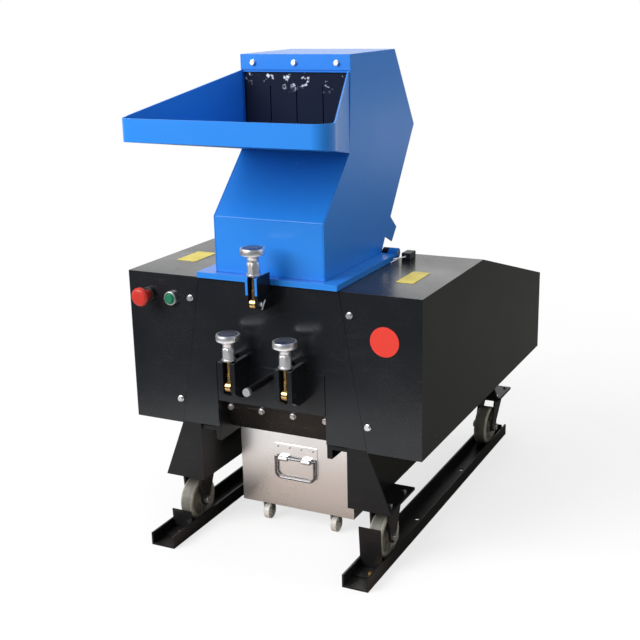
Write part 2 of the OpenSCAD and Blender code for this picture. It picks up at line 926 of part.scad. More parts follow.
module estop_button() {
    color("#c8141c") from_front() translate([estop_x, 0, estop_h]) {
        rotate([90, 0, 0]) rotate_extrude() polygon([[0, -button_depth / 4],
            [stem_r - run_gap, -button_depth / 4], [stem_r - run_gap, collar_h + estop_travel + stem_gap],
            [stem_r + estop_root, estop_reach - estop_rim - estop_dome],
            [estop_r, estop_reach - estop_rim - estop_dome / 2], [estop_r, estop_reach - estop_dome],
            [estop_r * dome_wide_share, estop_reach - estop_dome / 3],
            [estop_r * dome_narrow_share, estop_reach], [0, estop_reach]]);
    }
}

module start_button() {
    color("#1f9a4c") from_front() translate([start_x, 0, start_h]) {
        rotate([90, 0, 0]) rotate_extrude() polygon([[0, -button_depth / 4],
            [stem_r - run_gap, -button_depth / 4], [stem_r - run_gap, start_reach - start_round],
            [stem_r - start_round, start_reach], [0, start_reach]]);
    }
}

// Contactor box on the wall inside the left cover
box_depth = 90;
box_y = 90;
box_rise = 60;
box_side = 160;
box_low = [-body_half + cover_t, box_y, cover_low_h + box_rise];
box_high = box_low + [box_depth, box_side, box_side];
box_lid_t = 6;

module control_box() {
    color("#c9ccd0") from_front() {
        slab(box_low, box_high - [box_lid_t, 0, 0]);
        slab([box_high[0] - box_lid_t, box_low[1] + box_lid_t, box_low[2] + box_lid_t],
            box_high - [0, box_lid_t, box_lid_t]);
    }
}

// Motor with ribs, feet, terminal box and fan cover
rib_count = 20;
rib_turn_share = 0.5;
rib_t = 2.5;
rib_depth = 7;
motor_bell = 22;
foot_w = 46;
motor_foot_t = 10;
terminal_half = 34;
terminal_h = 40;
fan_len = 26;
fan_share = 0.94;
boss_share = 0.4;
block_share = 0.68;
motor_foot_h = motor_h - motor_axis_rise;
motor_bell_left = motor_left + motor_bell;
motor_bell_right = motor_right - motor_bell;
web_h = motor_foot_h + motor_foot_t - seam;

module motor_body() {
    color("#2d5e92") from_front() difference() {
        union() {
            bar_x(motor_r - rib_depth, motor_left, motor_right, motor_y, motor_h);
            bar_x(motor_r, motor_left, motor_bell_left, motor_y, motor_h);
            bar_x(motor_r, motor_bell_right, motor_right, motor_y, motor_h);
            bar_x(motor_r * fan_share, motor_left - fan_len, motor_left, motor_y, motor_h);
            bar_x(motor_r * boss_share, motor_right, motor_right + rib_depth, motor_y, motor_h);
            for (i = [0 : rib_count - 1]) {
                translate([0, motor_y, motor_h]) rotate([(i + rib_turn_share) * 360 / rib_count, 0, 0])
                    slab([motor_bell_left - overrun, -rib_t / 2, motor_r / 2],
                        [motor_bell_right + overrun, rib_t / 2, motor_r - overrun]);
            }
            for (y = [-motor_bolt_y, motor_bolt_y]) {
                slab([motor_bell_left, motor_y + y - foot_w / 2, motor_foot_h],
                    [motor_bell_right, motor_y + y + foot_w / 2, motor_foot_h + motor_foot_t]);
            }
            slab([motor_bell_left + overrun, motor_y - motor_bolt_y, motor_foot_h + overrun],
                [motor_bell_right - overrun, motor_y + motor_bolt_y, web_h]);
            slab([motor_bell_left + 2 * overrun, motor_y - motor_r * block_share, motor_foot_h + overrun],
                [motor_bell_right - 2 * overrun, motor_y + motor_r * block_share, motor_h]);
            slab([-terminal_half, motor_y - terminal_half, motor_h],
                [terminal_half, motor_y + terminal_half, motor_h + motor_r + terminal_h - motor_r / 4]);
        }
        bar_x(motor_shaft_r + run_gap, motor_right - motor_bell / 2, motor_right + 2 * rib_depth,
            motor_y, motor_h);
        motor_bolt_places() bar_z(small_bolt_r, motor_seat_h, motor_foot_h + 2 * motor_foot_t, 0, 0);
    }
}

// Pulley with rectangular grooves, running along x from its inner face
module pulley(r, bore) {
    rotate([0, 90, 0]) difference() {
        cylinder(h = pulley_w, r = r);
        for (i = [0 : groove_count - 1]) {
            translate([0, 0, pulley_rim + i * (groove_w + pulley_rim)]) difference() {
                cylinder(h = groove_w, r = r + overrun);
                cylinder(h = groove_w, r = r - groove_depth);
            }
        }
        translate([0, 0, -overrun]) cylinder(h = pulley_w + 2 * overrun, r = bore);
    }
}

module rotor_pulley() {
    color("#6c6f73") from_front() translate([drive_x, rotor_y, rotor_h]) pulley(big_pulley_r, shaft_r);
}

module motor_pulley() {
    color("#6c6f73") from_front() translate([0, motor_y, motor_h]) {
        translate([drive_x, 0, 0]) pulley(small_pulley_r, motor_shaft_r);
        bar_x(motor_shaft_r, motor_right - motor_bell / 2 + seam, drive_x + pulley_w, 0, 0);
    }
}

// Belts around both pulleys, an open loop with tangent runs
belt_steps = 12;
motor_from_rotor = [motor_y - rotor_y, motor_h - rotor_h];
belt_heading = atan2(motor_from_rotor[1], motor_from_rotor[0]);
belt_lean = acos((big_pulley_r - small_pulley_r) / norm(motor_from_rotor));
function belt_loop(lift, grow) = concat(
    arc([0, 0], (big_pulley_r - groove_depth + lift) * grow, belt_heading + belt_lean,
        belt_heading + 360 - belt_lean, 2 * belt_steps),
    arc(motor_from_rotor, (small_pulley_r - groove_depth + lift) * grow, belt_heading - belt_lean,
        belt_heading + belt_lean, belt_steps));
belt_grow = 1 / cos(180 / (2 * belt_steps));

module drive_belts() {
    color("#101010") from_front() translate([0, rotor_y, rotor_h]) for (i = [0 : groove_count - 1]) {
        translate([drive_x + pulley_rim + i * (groove_w + pulley_rim) + free_gap, 0, 0])
            across(0, groove_w - 2 * free_gap) difference() {
                polygon(belt_loop(belt_t, 1));
                polygon(belt_loop(free_gap, belt_grow));
            }
    }
}

// Fixed pins of the hopper hinge, the cradle hinge and the top latch
cotter_r = 1.2;
cotter_turn = 20;
pin_over_left = 2;
pin_over_right = 5;
cotter_out = 3;

module hinge_pins() {
    color("#9a9da2") from_front() {
        bar_x(hinge_pin_r, -flange_half, flange_half, hinge_y, hinge_h);
        bar_x(pivot_r, -chamber_outer, chamber_outer, pivot_y, pivot_h);
        bar_x(rod_r, -ear_half_gap - ear_t - pin_over_left, ear_half_gap + ear_t + pin_over_right,
            -latch_y, top_eye_h);
        translate([ear_half_gap + ear_t + cotter_out, -latch_y, top_eye_h - eye_r])
            rotate([0, cotter_turn, 0]) cylinder(h = 2 * eye_r, r = cotter_r);
    }
}

// Interlock switch beside the hinge, and its feeler
switch_x = 181;
switch_y = 316;
switch_half = [10, 17];
switch_h = 15;
lever_r = 1.5;
lever_pin_r = 1.2;
lever_pin_len = 6;
lever_tip = [165, 264];
lever_root = [181, 297.5];

module interlock_switch() {
    color("#3b3e42") from_front() {
        slab([switch_x - switch_half[0], switch_y - switch_half[1], deck_h],
            [switch_x + switch_half[0], switch_y + switch_half[1], deck_h + switch_h]);
    }
}

module switch_lever() {
    lever = lever_tip - lever_root;
    color("#202224") from_front() translate([lever_root[0], lever_root[1], deck_h + switch_h / 2]) {
        rotate([0, 90, atan2(lever[1], lever[0])]) cylinder(h = norm(lever), r = lever_r);
        cylinder(h = lever_pin_len, r = lever_pin_r, center = true);
    }
}

// Side plates of the hopper, each with a stop arm behind
hopper_outline = [[base_rear_y, hopper_h], arm_low, arm_tip, arm_far,
    [base_rear_y + (belly_y - base_rear_y) * arm_root_share,
        hopper_h + (belly_h - hopper_h) * arm_root_share],
    [belly_y, belly_h], [head_rear_y, top_h], [beam_y, top_h], [beam_y, top_h - beam_h],
    [neck_y, neck_h], [base_front_y, fold_h], [base_front_y, hopper_h]];

module hopper_sides() {
    color("#1f6be0") from_front() both_sides() across(hopper_inner, hopper_half) polygon(hopper_outline);
}

module hopper_front() {
    color("#1f6be0") from_front() across(-hopper_inner, hopper_inner)
        polygon(strip([[neck_y, neck_h], [base_front_y, fold_h], [base_front_y, hopper_h]], sheet_t));
}

back_in_share = 0.8;
back_drop_share = 1.2;

module hopper_back() {
    color("#1f6be0") from_front() across(-hopper_inner, hopper_inner)
        polygon(strip([[base_rear_y, hopper_h], [belly_y, belly_h],
            [head_rear_y + sheet_t * back_in_share, top_h - sheet_t * back_drop_share]], sheet_t));
}

// Folded top of the hopper, with the beam and the clamping strip of the curtain
clamp_t = 4;
curtain_y = beam_y + sheet_t + clamp_t;
curtain_t = 4;
curtain_drop = 38;
curtain_top_h = top_h - curtain_drop;
screw_pitch = 95;
screw_drop = 17;
screw_h = top_h - screw_drop;
clamp_over = 2;
clamp_rise = 6;
strip_low_h = curtain_top_h + curtain_t / 2 + free_gap;

module hopper_head() {
    color("#1f6be0") from_front() difference() {
        union() {
            across(-hopper_inner, hopper_inner)
                polygon(strip([[head_rear_y, top_h], [beam_y, top_h], [beam_y, top_h - beam_h]], sheet_t));
            slab([-hopper_inner, beam_y + sheet_t, strip_low_h],
                [hopper_inner, curtain_y + curtain_t + clamp_over, screw_h + clamp_rise]);
        }
        for (i = [-1 : 1]) {
            bar_y(bolt_r, beam_y - overrun, curtain_y + 2 * curtain_t, i * screw_pitch, screw_h);
        }
    }
}

module beam_screws() {
    color("#d4d6d9") from_front() for (i = [-1 : 1]) {
        translate([i * screw_pitch, beam_y, screw_h]) {
            rotate([90, 0, 0]) cylinder(h = bolt_washer_t, r = bolt_head_r);
            translate([0, -bolt_washer_t, 0]) rotate([90, 0, 0])
                cylinder(h = small_nut_h, r = small_nut_r, $fn = 6);
            bar_y(bolt_r, -bolt_washer_t, curtain_y + 2 * curtain_t - beam_y, 0, 0);
        }
    }
}

// Rubber curtain behind the mouth, slit into flaps
flap_count = 4;
slit_w = 1.5;
slit_share = 0.82;
curtain_side_gap = 2;
curtain_foot_gap = 12;
curtain_half = hopper_inner - curtain_side_gap;
curtain_low_h = neck_h + curtain_foot_gap;

module splash_curtain() {
    curtain_len = curtain_top_h - curtain_low_h;
    color("#101113") from_front() difference() {
        union() {
            bar_x(curtain_t / 2, -curtain_half, curtain_half, curtain_y + curtain_t / 2, curtain_top_h);
            slab([-curtain_half, curtain_y, curtain_low_h],
                [curtain_half, curtain_y + curtain_t, curtain_top_h]);
        }
        for (i = [1 : flap_count - 1]) {
            translate([-curtain_half + i * 2 * curtain_half / flap_count, 0, 0])
                slab([-slit_w / 2, curtain_y - overrun, curtain_low_h - overrun],
                    [slit_w / 2, curtain_y + curtain_t + overrun, curtain_low_h + curtain_len * slit_share]);
        }
    }
}

// Feed tray: a sloping floor inside a flared wall with round front corners
corner_y = tray_corner_r - tray_reach;
corner_x = hopper_half - (tray_corner_r + (corner_y - neck_y) * sin(tray_flare)) / cos(tray_flare);
corner_steps = 8;
mouth_run = 2 * sheet_t;
tray_path = concat([[-hopper_half + mouth_run * tan(tray_flare), neck_y + mouth_run]],
    arc([-corner_x, corner_y], tray_corner_r, 180 - tray_flare, 270, corner_steps),
    arc([corner_x, corner_y], tray_corner_r, 270, 360 + tray_flare, corner_steps),
    [[hopper_half - mouth_run * tan(tray_flare), neck_y + mouth_run]]);
tray_side = [[-tray_reach, lip_low_h], [neck_y, neck_h], [beam_y, top_h - beam_h], [corner_y, lip_top_h],
    [-tray_reach, lip_top_h]];
tray_floor = strip([[-tray_reach, lip_low_h], [neck_y, neck_h]], sheet_t);

module feed_tray() {
    color("#1f6be0") from_front() {
        intersection() {
            linear_extrude(top_h) polygon(strip(tray_path, sheet_t));
            across(-body_half, body_half) polygon(tray_side);
        }
        intersection() {
            linear_extrude(top_h) polygon(tray_path);
            across(-body_half, body_half) polygon(tray_floor);
        }
    }
}

// Hopper flange with its hinge barrels
flange_mouth_front_y = base_front_y + sheet_t;
flange_mouth_rear_y = base_rear_y - 2 * sheet_t;
lug_gap = 2;
barrel_web_y = hinge_y - barrel_r - swing_gap;
web_reach_share = 1.4;
web_top_share = 0.2;

module barrel() {
    difference() {
        union() {
            circle(r = barrel_r);
            polygon([[-barrel_r * web_reach_share, -barrel_r], [0, -barrel_r], [0, barrel_r * web_top_share],
                [-barrel_r * web_reach_share, barrel_r * web_top_share]]);
        }
        circle(r = hinge_pin_r + run_gap);
    }
}

module hopper_flange() {
    color("#1f6be0") from_front() {
        difference() {
            slab([-flange_half, flange_front_y, flange_low_h], [flange_half, hinge_y - barrel_r, hopper_h]);
            slab([-hopper_inner, flange_mouth_front_y, flange_low_h - overrun],
                [hopper_inner, flange_mouth_rear_y, hopper_h + overrun]);
            both_sides() slab([chamber_half - lug_gap, barrel_web_y, flange_low_h - overrun],
                [chamber_outer + lug_gap, hinge_y, hopper_h + overrun]);
        }
        both_sides() across(chamber_outer + lug_gap, flange_half) translate([hinge_y, hinge_h]) barrel();
    }
}

// Swing bolt: an eye with a rod up into the knob, standing on its pin
rod_step = 1;

module swing_bolt(x, eye_h) {
    color("#c49a3f") from_front() translate([x, -latch_y, eye_h]) difference() {
        union() {
            bar_x(eye_r, -eye_t / 2, eye_t / 2, 0, 0);
            bar_z(rod_r, 0, latch_reach + washer_t + rod_in_knob, 0, 0);
            bar_z(rod_r + rod_step, 0, latch_reach / 2, 0, 0);
        }
        bar_x(rod_r + run_gap, -eye_t, eye_t, 0, 0);
    }
}

module top_swing_bolt() {
    swing_bolt(0, top_eye_h);
}

module left_swing_bolt() {
    swing_bolt(-latch_x, low_eye_h);
}

module right_swing_bolt() {
    swing_bolt(latch_x, low_eye_h);
}

// Knob: a grip, a waist and a broad rim with a cap, over its washer
grip_r = knob_r * knob_grip_share;
waist_r = knob_r * knob_waist_share;
rim_h = knob_h * knob_rim_share;
cap_h = 3;
flare_steps = 8;
rim_round = 1;
rim_under_share = 0.94;
foot_share = 0.92;
neck_share = 0.9;
foot_round_share = 0.04;
grip_top_share = 0.2;
neck_h_share = 0.24;
flare_low_share = 0.34;
cap_shares = [0.86, 0.78, 0.5];
cap_seat = knob_h - cap_h;
rim_seat = cap_seat - rim_h;
flare_low = knob_h * flare_low_share;
knob_flare = [for (i = [0 : flare_steps]) let (s = i / flare_steps)
    [waist_r + (knob_r * rim_under_share - waist_r) * (1 - cos(90 * s)),
        flare_low + (rim_seat - flare_low) * sin(90 * s)]];
knob_profile = concat([[rod_r + run_gap, 0], [grip_r * foot_share, 0], [grip_r, knob_h * foot_round_share],
    [grip_r, knob_h * grip_top_share], [grip_r * neck_share, knob_h * neck_h_share]], knob_flare,
    [[knob_r, rim_seat + rim_round], [knob_r, cap_seat - rim_round], [knob_r - rim_round, cap_seat],
        [knob_r * cap_shares[0], cap_seat], [knob_r * cap_shares[1], knob_h - rim_round],
        [knob_r * cap_shares[2], knob_h], [0, knob_h], [0, rod_in_knob + seam],
        [rod_r + run_gap, rod_in_knob + seam]]);

module knob(x, seat_h) {
    color("#c3c5c8") from_front() translate([x, -latch_y, seat_h + free_gap]) {
        translate([0, 0, washer_t]) rotate_extrude() polygon(knob_profile);
        difference() {
            cylinder(h = washer_t, r = washer_r);
            bar_z(rod_r + run_gap, -overrun, washer_t + overrun, 0, 0);
        }
    }
}

module top_knob() {
    knob(0, top_seat_h);
}

module left_knob() {
    knob(-latch_x, low_seat_h);
}

module right_knob() {
    knob(latch_x, low_seat_h);
}

// Cradle door with the ears and pins of the lower latches
low_ear_drop = 27;
low_ear_share = 0.55;
low_pin_over = 3;
ear_low_h = low_eye_h - low_ear_drop;

module low_latch_ear() {
    across(low_ear_half_gap, low_ear_half_gap + low_ear_t) difference() {
        polygon([[0, ear_low_h], [-ear_reach * low_ear_share, ear_low_h],
            [-ear_reach, low_eye_h - eye_r], [-ear_reach, low_seat_h - ear_tip_fall],
            [-latch_y, low_seat_h], [-swing_gap, low_seat_h], [-swing_gap, door_top_h], [0, door_top_h]]);
        translate([-latch_y, low_eye_h]) circle(r = rod_r);
    }
}

module cradle_door() {
    pin_half = low_ear_half_gap + low_ear_t + low_pin_over;
    color("#1a1b1d") from_front() {
        slab([-door_half, 0, door_low_h], [door_half, door_t, door_top_h]);
        for (x = [-latch_x, latch_x]) {
            translate([x, 0, 0]) {
                both_sides() low_latch_ear();
                bar_x(rod_r, -pin_half, pin_half, -latch_y, low_eye_h);
            }
        }
    }
}

// Cradle frame: two cheeks below the screen, joined to the door and to the hinge tube
cheek_out = screen_half;
cheek_in = screen_half - cheek_t;
arm_w = 28;
tie_r = 8;
tube_wall_in = 3;
arm_end_drop = 4;
arm_root_h = pivot_h + pivot_boss_r;
cheek_front_shares = [0.5, 0.8];
cheek_rear_shares = [0.92, 0.5];
cheek_boss_share = 1.2;
cheek_rear_rise = 45;
tie_side_share = 0.62;
tie_low_share = 0.78;
tie_rise_share = 1.4;

module cheek_outline() {
    difference() {
        union() {
            intersection() {
                translate([rotor_y, rotor_h]) circle(r = cradle_ring_r + cradle_ring_w);
                polygon([[door_t, pivot_h - 2 * cradle_ring_r],
                    [pivot_y, pivot_h - 2 * cradle_ring_r],
                    [pivot_y, rotor_h - cradle_ring_r * tan(screen_end)],
                    [door_t, rotor_h - cradle_ring_r * tan(screen_end)]]);
            }
            polygon([[door_t, door_top_h - arm_w], [2 * door_t, door_top_h - arm_w],
                [door_t + arm_w, door_top_h - 2 * arm_w],
                [rotor_y - cradle_ring_r * cheek_front_shares[0], door_top_h - 2 * arm_w],
                [rotor_y - cradle_ring_r * cheek_front_shares[1], arm_root_h],
                [door_t, door_top_h - arm_end_drop]]);
            polygon([[pivot_y, pivot_h - pivot_boss_r], [pivot_y, pivot_h + pivot_boss_r],
                [rotor_y + cradle_ring_r * cheek_rear_shares[0], pivot_h + pivot_boss_r * cheek_boss_share],
                [rotor_y + cradle_ring_r * cheek_rear_shares[1], door_low_h + cheek_rear_rise]]);
            translate([pivot_y, pivot_h]) circle(r = pivot_boss_r);
        }
        translate([rotor_y, rotor_h]) circle(r = cradle_ring_r);
        translate([pivot_y, pivot_h]) circle(r = pivot_r + run_gap);
    }
}

module cradle_frame() {
    color("#26282b") from_front() {
        both_sides() across(cheek_in, cheek_out) cheek_outline();
        difference() {
            bar_x(pivot_boss_r - tube_wall_in, -cheek_in, cheek_in, pivot_y, pivot_h);
            bar_x(pivot_r + run_gap, -cheek_in - overrun, cheek_in + overrun, pivot_y, pivot_h);
        }
        for (y = [-cradle_ring_r * tie_side_share, cradle_ring_r * tie_side_share]) {
            bar_x(tie_r, -cheek_in, cheek_in, rotor_y + y,
                rotor_h - cradle_ring_r * tie_low_share - tie_r * tie_rise_share);
        }
    }
}

// Half-round screen of perforated staves, which lie side by side on the cheeks
stave_count = 9;
stave_gap = 0.4;
stave_turn = (180 - 2 * screen_end) / stave_count;
stave_half_w = 2 * screen_r * tan(stave_turn / 2) - stave_gap;
hole_pitch = 28;
hole_columns = 7;

module stave() {
    difference() {
        across(-screen_half, screen_half) intersection() {
            difference() {
                circle(r = screen_r + screen_t);
                circle(r = screen_r);
            }
            polygon([[0, 0], [-stave_half_w, -2 * screen_r], [stave_half_w, -2 * screen_r]]);
        }
        for (i = [0 : hole_columns - 1]) {
            translate([(i - (hole_columns - 1) / 2) * hole_pitch, 0, 0])
                bar_z(screen_hole_r, -screen_r - screen_t - overrun, overrun - screen_r, 0, 0);
        }
    }
}

module screen() {
    color("#8d9095") from_front() translate([0, rotor_y, rotor_h]) {
        for (i = [0 : stave_count - 1]) {
            rotate([(i - (stave_count - 1) / 2) * stave_turn, 0, 0]) stave();
        }
    }
}

// Pull rod on the cradle door, with a bright end
handle_cap_r = 8.5;
handle_cap_len = 9;

module cradle_handle() {
    color("#2a2c2f") from_front() {
        bar_y(handle_r, handle_cap_len - handle_len, 0, 0, handle_h);
        bar_y(handle_cap_r, -handle_len, handle_cap_len - handle_len, 0, handle_h);
    }
}

// Rotor: shaft and three arms
arm_count = 3;
core_r = 44;
rotor_half = chamber_half - side_gap;
arm_back = 18;
arm_seat = 6;
arm_top_r = 76;
rotor_knife_t = 10;
rotor_knife_in = 50;
rotor_turn = 15;
rotor_bolt_in = 5;
rotor_knife_out = sqrt(rotor_r * rotor_r - (arm_seat + rotor_knife_t) * (arm_seat + rotor_knife_t));

module rotor_places() {
    for (i = [0 : arm_count - 1]) {
        rotate([i * 360 / arm_count + rotor_turn, 0, 0]) children();
    }
}

module rotor() {
    color("#4a4d51") from_front() translate([0, rotor_y, rotor_h]) {
        bar_x(shaft_r, -drive_x - flywheel_w - drive_gap, drive_x + pulley_w + drive_gap, 0, 0);
        bar_x(core_r, -rotor_half, rotor_half, 0, 0);
        rotor_places() across(overrun - rotor_half, rotor_half - overrun) polygon([[-arm_back, shaft_r / 2],
            [arm_seat, shaft_r / 2], [arm_seat, arm_top_r], [-arm_back / 2, arm_top_r],
            [-arm_back, core_r + overrun]]);
    }
}

module rotor_knives() {
    knife_bolt_rise = (rotor_knife_in + rotor_knife_out) / 2 - rotor_bolt_in;
    color("#b4b7bb") from_front() translate([0, rotor_y, rotor_h]) rotor_places() {
        slab([-rotor_half, arm_seat, rotor_knife_in],
            [rotor_half, arm_seat + rotor_knife_t, rotor_knife_out]);
        for (x = four_in_row) {
            translate([x * knife_bolt_pitch, arm_seat + rotor_knife_t, knife_bolt_rise])
                rotate([-90, 0, 0]) cylinder(h = small_nut_h, r = small_nut_r, $fn = 6);
        }
    }
}

// Flywheel on the left end of the shaft
flywheel_rim = 22;
flywheel_web = 12;
flywheel_hub_r = 36;

module flywheel() {
    color("#3f4246") from_front() translate([-drive_x - flywheel_w, rotor_y, rotor_h]) difference() {
        bar_x(flywheel_r, 0, flywheel_w, 0, 0);
        for (x = [-overrun, flywheel_w - (flywheel_w - flywheel_web) / 2]) {
            difference() {
                bar_x(flywheel_r - flywheel_rim, x, x + (flywheel_w - flywheel_web) / 2 + overrun, 0, 0);
                bar_x(flywheel_hub_r, x - overrun, x + flywheel_w, 0, 0);
            }
        }
        bar_x(shaft_r, -overrun, flywheel_w + overrun, 0, 0);
    }
}

// Bin, its casters and its drop handle

module bin_body() {
    color("#b9b6b2") from_front() {
        difference() {
            slab([-bin_w / 2, bin_y, bin_low_h], [bin_w / 2, bin_y + bin_len, bin_top_h]);
            slab([-bin_w / 2 + bin_t, bin_y + bin_t, bin_low_h + bin_t],
                [bin_w / 2 - bin_t, bin_y + bin_len - bin_t, bin_top_h + overrun]);
        }
    }
}

bin_plate_t = 2;
bin_fork_gap = 1;
bin_rim_in = 2;
bin_fork_share = 0.8;
bin_fork_half = bin_wheel_w / 2 + bin_fork_gap;
bin_plate_half = 15;

module bin_wheel_places() {
    for (x = [-bin_wheel_x, bin_wheel_x]) {
        for (y = [bin_y + bin_axle_in, bin_y + bin_len - bin_axle_in]) {
            translate([x, y, bin_wheel_r]) children();
        }
    }
}

module bin_caster_forks() {
    fork_rise = bin_low_h - bin_wheel_r;
    color("#6f7276") from_front() bin_wheel_places() {
        slab([-bin_plate_half, -bin_plate_half, fork_rise - bin_plate_t],
            [bin_plate_half, bin_plate_half, fork_rise]);
        both_sides() across(bin_fork_half, bin_fork_half + bin_plate_t) {
            polygon([[-bin_axle_r * 2, 0], [bin_axle_r * 2, 0],
                [bin_plate_half * bin_fork_share, fork_rise - bin_plate_t],
                [-bin_plate_half * bin_fork_share, fork_rise - bin_plate_t]]);
            circle(r = bin_axle_r * 2);
        }
        bar_x(bin_axle_r, -bin_fork_half - 2 * bin_plate_t, bin_fork_half + 2 * bin_plate_t, 0, 0);
    }
}

module bin_wheel_pair(y) {
    color("#f0efe8") from_front() both_sides() translate([bin_wheel_x, y, bin_wheel_r])
        wheel(bin_wheel_r, bin_wheel_w, bin_axle_r + run_gap, 2 * bin_axle_r, bin_rim_in);
}

module bin_front_wheels() {
    bin_wheel_pair(bin_y + bin_axle_in);
}

module bin_rear_wheels() {
    bin_wheel_pair(bin_y + bin_len - bin_axle_in);
}

// Backing plate with two loops that hold the drop handle
loop_half = 10;
loop_x = 28;
loop_wall = 2;
plate_low_in = 2;
plate_rise = 32;
bail_y = bin_y - handle_plate_t - bail_r - loop_wall;

module bail_loop() {
    difference() {
        union() {
            bar_x(bail_r + loop_wall, -loop_half, loop_half, bail_y, bail_h);
            slab([-loop_half, bail_y, bail_h - bail_r - loop_wall],
                [loop_half, bin_y - handle_plate_t, bail_h + bail_r + loop_wall]);
        }
        bar_x(bail_r + run_gap, -loop_half - overrun, loop_half + overrun, bail_y, bail_h);
    }
}

module bin_handle_plate() {
    color("#c9c9c8") from_front() {
        slab([-handle_plate_half, bin_y - handle_plate_t, bail_h - bail_drop + plate_low_in],
            [handle_plate_half, bin_y, bail_h + plate_rise]);
        for (x = [-loop_x, loop_x]) {
            translate([x, 0, 0]) bail_loop();
        }
    }
}

// Drop handle: a bar in the loops with a bow that hangs below it
module bin_bail() {
    color("#3a3c3f") from_front() translate([0, bail_y, 0]) {
        bar_x(bail_r, -bail_half, bail_half, 0, bail_h);
        both_sides() {
            bar_z(bail_r, bail_h - bail_drop + 2 * bail_r, bail_h, bail_half - bail_r, 0);
            translate([bail_half - bail_r, 0, bail_h]) sphere(r = bail_r);
            translate([bail_half - 3 * bail_r, 0, bail_h - bail_drop + 2 * bail_r]) rotate([90, 0, 0])
                intersection() {
                    rotate_extrude() translate([2 * bail_r, 0]) circle(r = bail_r);
                    slab([0, -4 * bail_r, -2 * bail_r], [4 * bail_r, 0, 2 * bail_r]);
                }
        }
        bar_x(bail_r, -bail_half + 3 * bail_r, bail_half - 3 * bail_r, 0, bail_h - bail_drop);
    }
}

skids();
foot_bolts();
caster_forks();
caster_axles();
legs();
side_rails();
motor_plate();
front_fascia();
chamber_plates();
chamber_walls();
bed_knives();
bearing_housings();
discharge_chute();
front_apron();
left_cover();
right_cover();
body_bolts();
control_bezels();
control_box();
motor_body();
drive_belts();
hinge_pins();
top_latch_ears();
interlock_switch();
hopper_sides();
hopper_front();
hopper_back();
hopper_head();
feed_tray();
hopper_flange();
beam_screws();
splash_curtain();
top_swing_bolt();
top_knob();
left_swing_bolt();
left_knob();
right_swing_bolt();
right_knob();
cradle_door();
cradle_frame();
screen();
cradle_handle();
rotor();
rotor_knives();
flywheel();
rotor_pulley();
motor_pulley();
front_left_wheel();
front_right_wheel();
rear_left_wheel();
rear_right_wheel();
bin_body();
bin_handle_plate();
bin_bail();
bin_caster_forks();
bin_front_wheels();
bin_rear_wheels();
estop_button();
start_button();
switch_lever();
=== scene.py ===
"""Looks of a floor-standing plastic granulator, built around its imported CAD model."""
import json
import math

import bmesh
import bpy
from mathutils import Matrix, Vector

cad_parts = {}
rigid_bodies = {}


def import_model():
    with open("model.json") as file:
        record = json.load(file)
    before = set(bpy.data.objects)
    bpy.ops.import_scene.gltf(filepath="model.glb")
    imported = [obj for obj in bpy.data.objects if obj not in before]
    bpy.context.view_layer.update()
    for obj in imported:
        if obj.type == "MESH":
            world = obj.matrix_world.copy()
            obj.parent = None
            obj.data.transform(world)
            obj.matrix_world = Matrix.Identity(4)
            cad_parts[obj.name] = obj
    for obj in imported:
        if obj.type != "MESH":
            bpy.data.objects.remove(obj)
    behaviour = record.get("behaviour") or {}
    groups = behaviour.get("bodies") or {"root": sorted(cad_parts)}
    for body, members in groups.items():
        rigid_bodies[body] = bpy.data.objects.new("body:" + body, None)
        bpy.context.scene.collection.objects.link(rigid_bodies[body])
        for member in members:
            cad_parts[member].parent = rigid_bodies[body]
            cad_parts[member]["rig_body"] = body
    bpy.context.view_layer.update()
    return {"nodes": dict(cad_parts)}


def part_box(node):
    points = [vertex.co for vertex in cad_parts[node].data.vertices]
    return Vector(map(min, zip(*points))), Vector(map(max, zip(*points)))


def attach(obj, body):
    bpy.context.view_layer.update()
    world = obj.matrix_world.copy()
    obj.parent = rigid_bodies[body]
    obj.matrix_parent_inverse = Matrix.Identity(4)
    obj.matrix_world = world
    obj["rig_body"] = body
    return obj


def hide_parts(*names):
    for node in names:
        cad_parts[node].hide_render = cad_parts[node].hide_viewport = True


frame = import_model()
scene = bpy.context.scene
scene.view_settings.view_transform = "Standard"
for cad_node in frame["nodes"].values():
    cad_node.select_set(False)
mm = 0.001
FRONT_PLATE_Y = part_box("left_cover")[0].y


# Studio: a pale floor in a white surround, with a large soft lamp at the front left and two weak ones,
# at the right and above. Glossy surfaces mirror a darker floor with a bright strip, and one bright window.
# The camera stands where the photographer stood.
floor_half, floor_drop = 9.0, 0.4 * mm
white_from, white_to, near_white = 0.8, 2.0, 0.72
glare_from, glare_to = 4.0, 7.0
floor_warm, floor_white = (0.60, 0.49, 0.43, 1), (1.0, 1.0, 1.0, 1)
bright_strip, dark_floor = (0.97, 0.97, 0.97, 1), (0.05, 0.052, 0.056, 1)
side_floor = (0.19, 0.185, 0.165, 1)
strip_near, strip_far, edge_blur = 0.6, 1.15, 0.12
front_from, front_to, rear_from, rear_to = -0.22, -0.38, 0.6, 1.4
window_way = (-0.45, 0.89, 0)
window_edge, window_core, window_dim, window_bright = 0.70, 0.90, 0.24, 1.05
fill_light = 0.42


def link(tree, source, target):
    """Joins an output socket to an input socket."""
    tree.links.new(source, target)


def fed(tree, socket, value):
    """Gives an input socket another node's output or a plain value."""
    if isinstance(value, bpy.types.NodeSocket):
        link(tree, value, socket)
    else:
        socket.default_value = value


def math_node(tree, operation, first, second):
    """The output of a Math node. Its inputs are sockets or numbers."""
    node = tree.nodes.new("ShaderNodeMath")
    node.operation = operation
    fed(tree, node.inputs[0], first)
    fed(tree, node.inputs[1], second)
    return node.outputs[0]


def mixed(tree, amount, first, second):
    """The output of a mix of two colours by a mask."""
    node = tree.nodes.new("ShaderNodeMix")
    node.data_type = "RGBA"
    for socket, value in ((node.inputs[0], amount), (node.inputs[6], first), (node.inputs[7], second)):
        fed(tree, socket, value)
    return node.outputs[2]


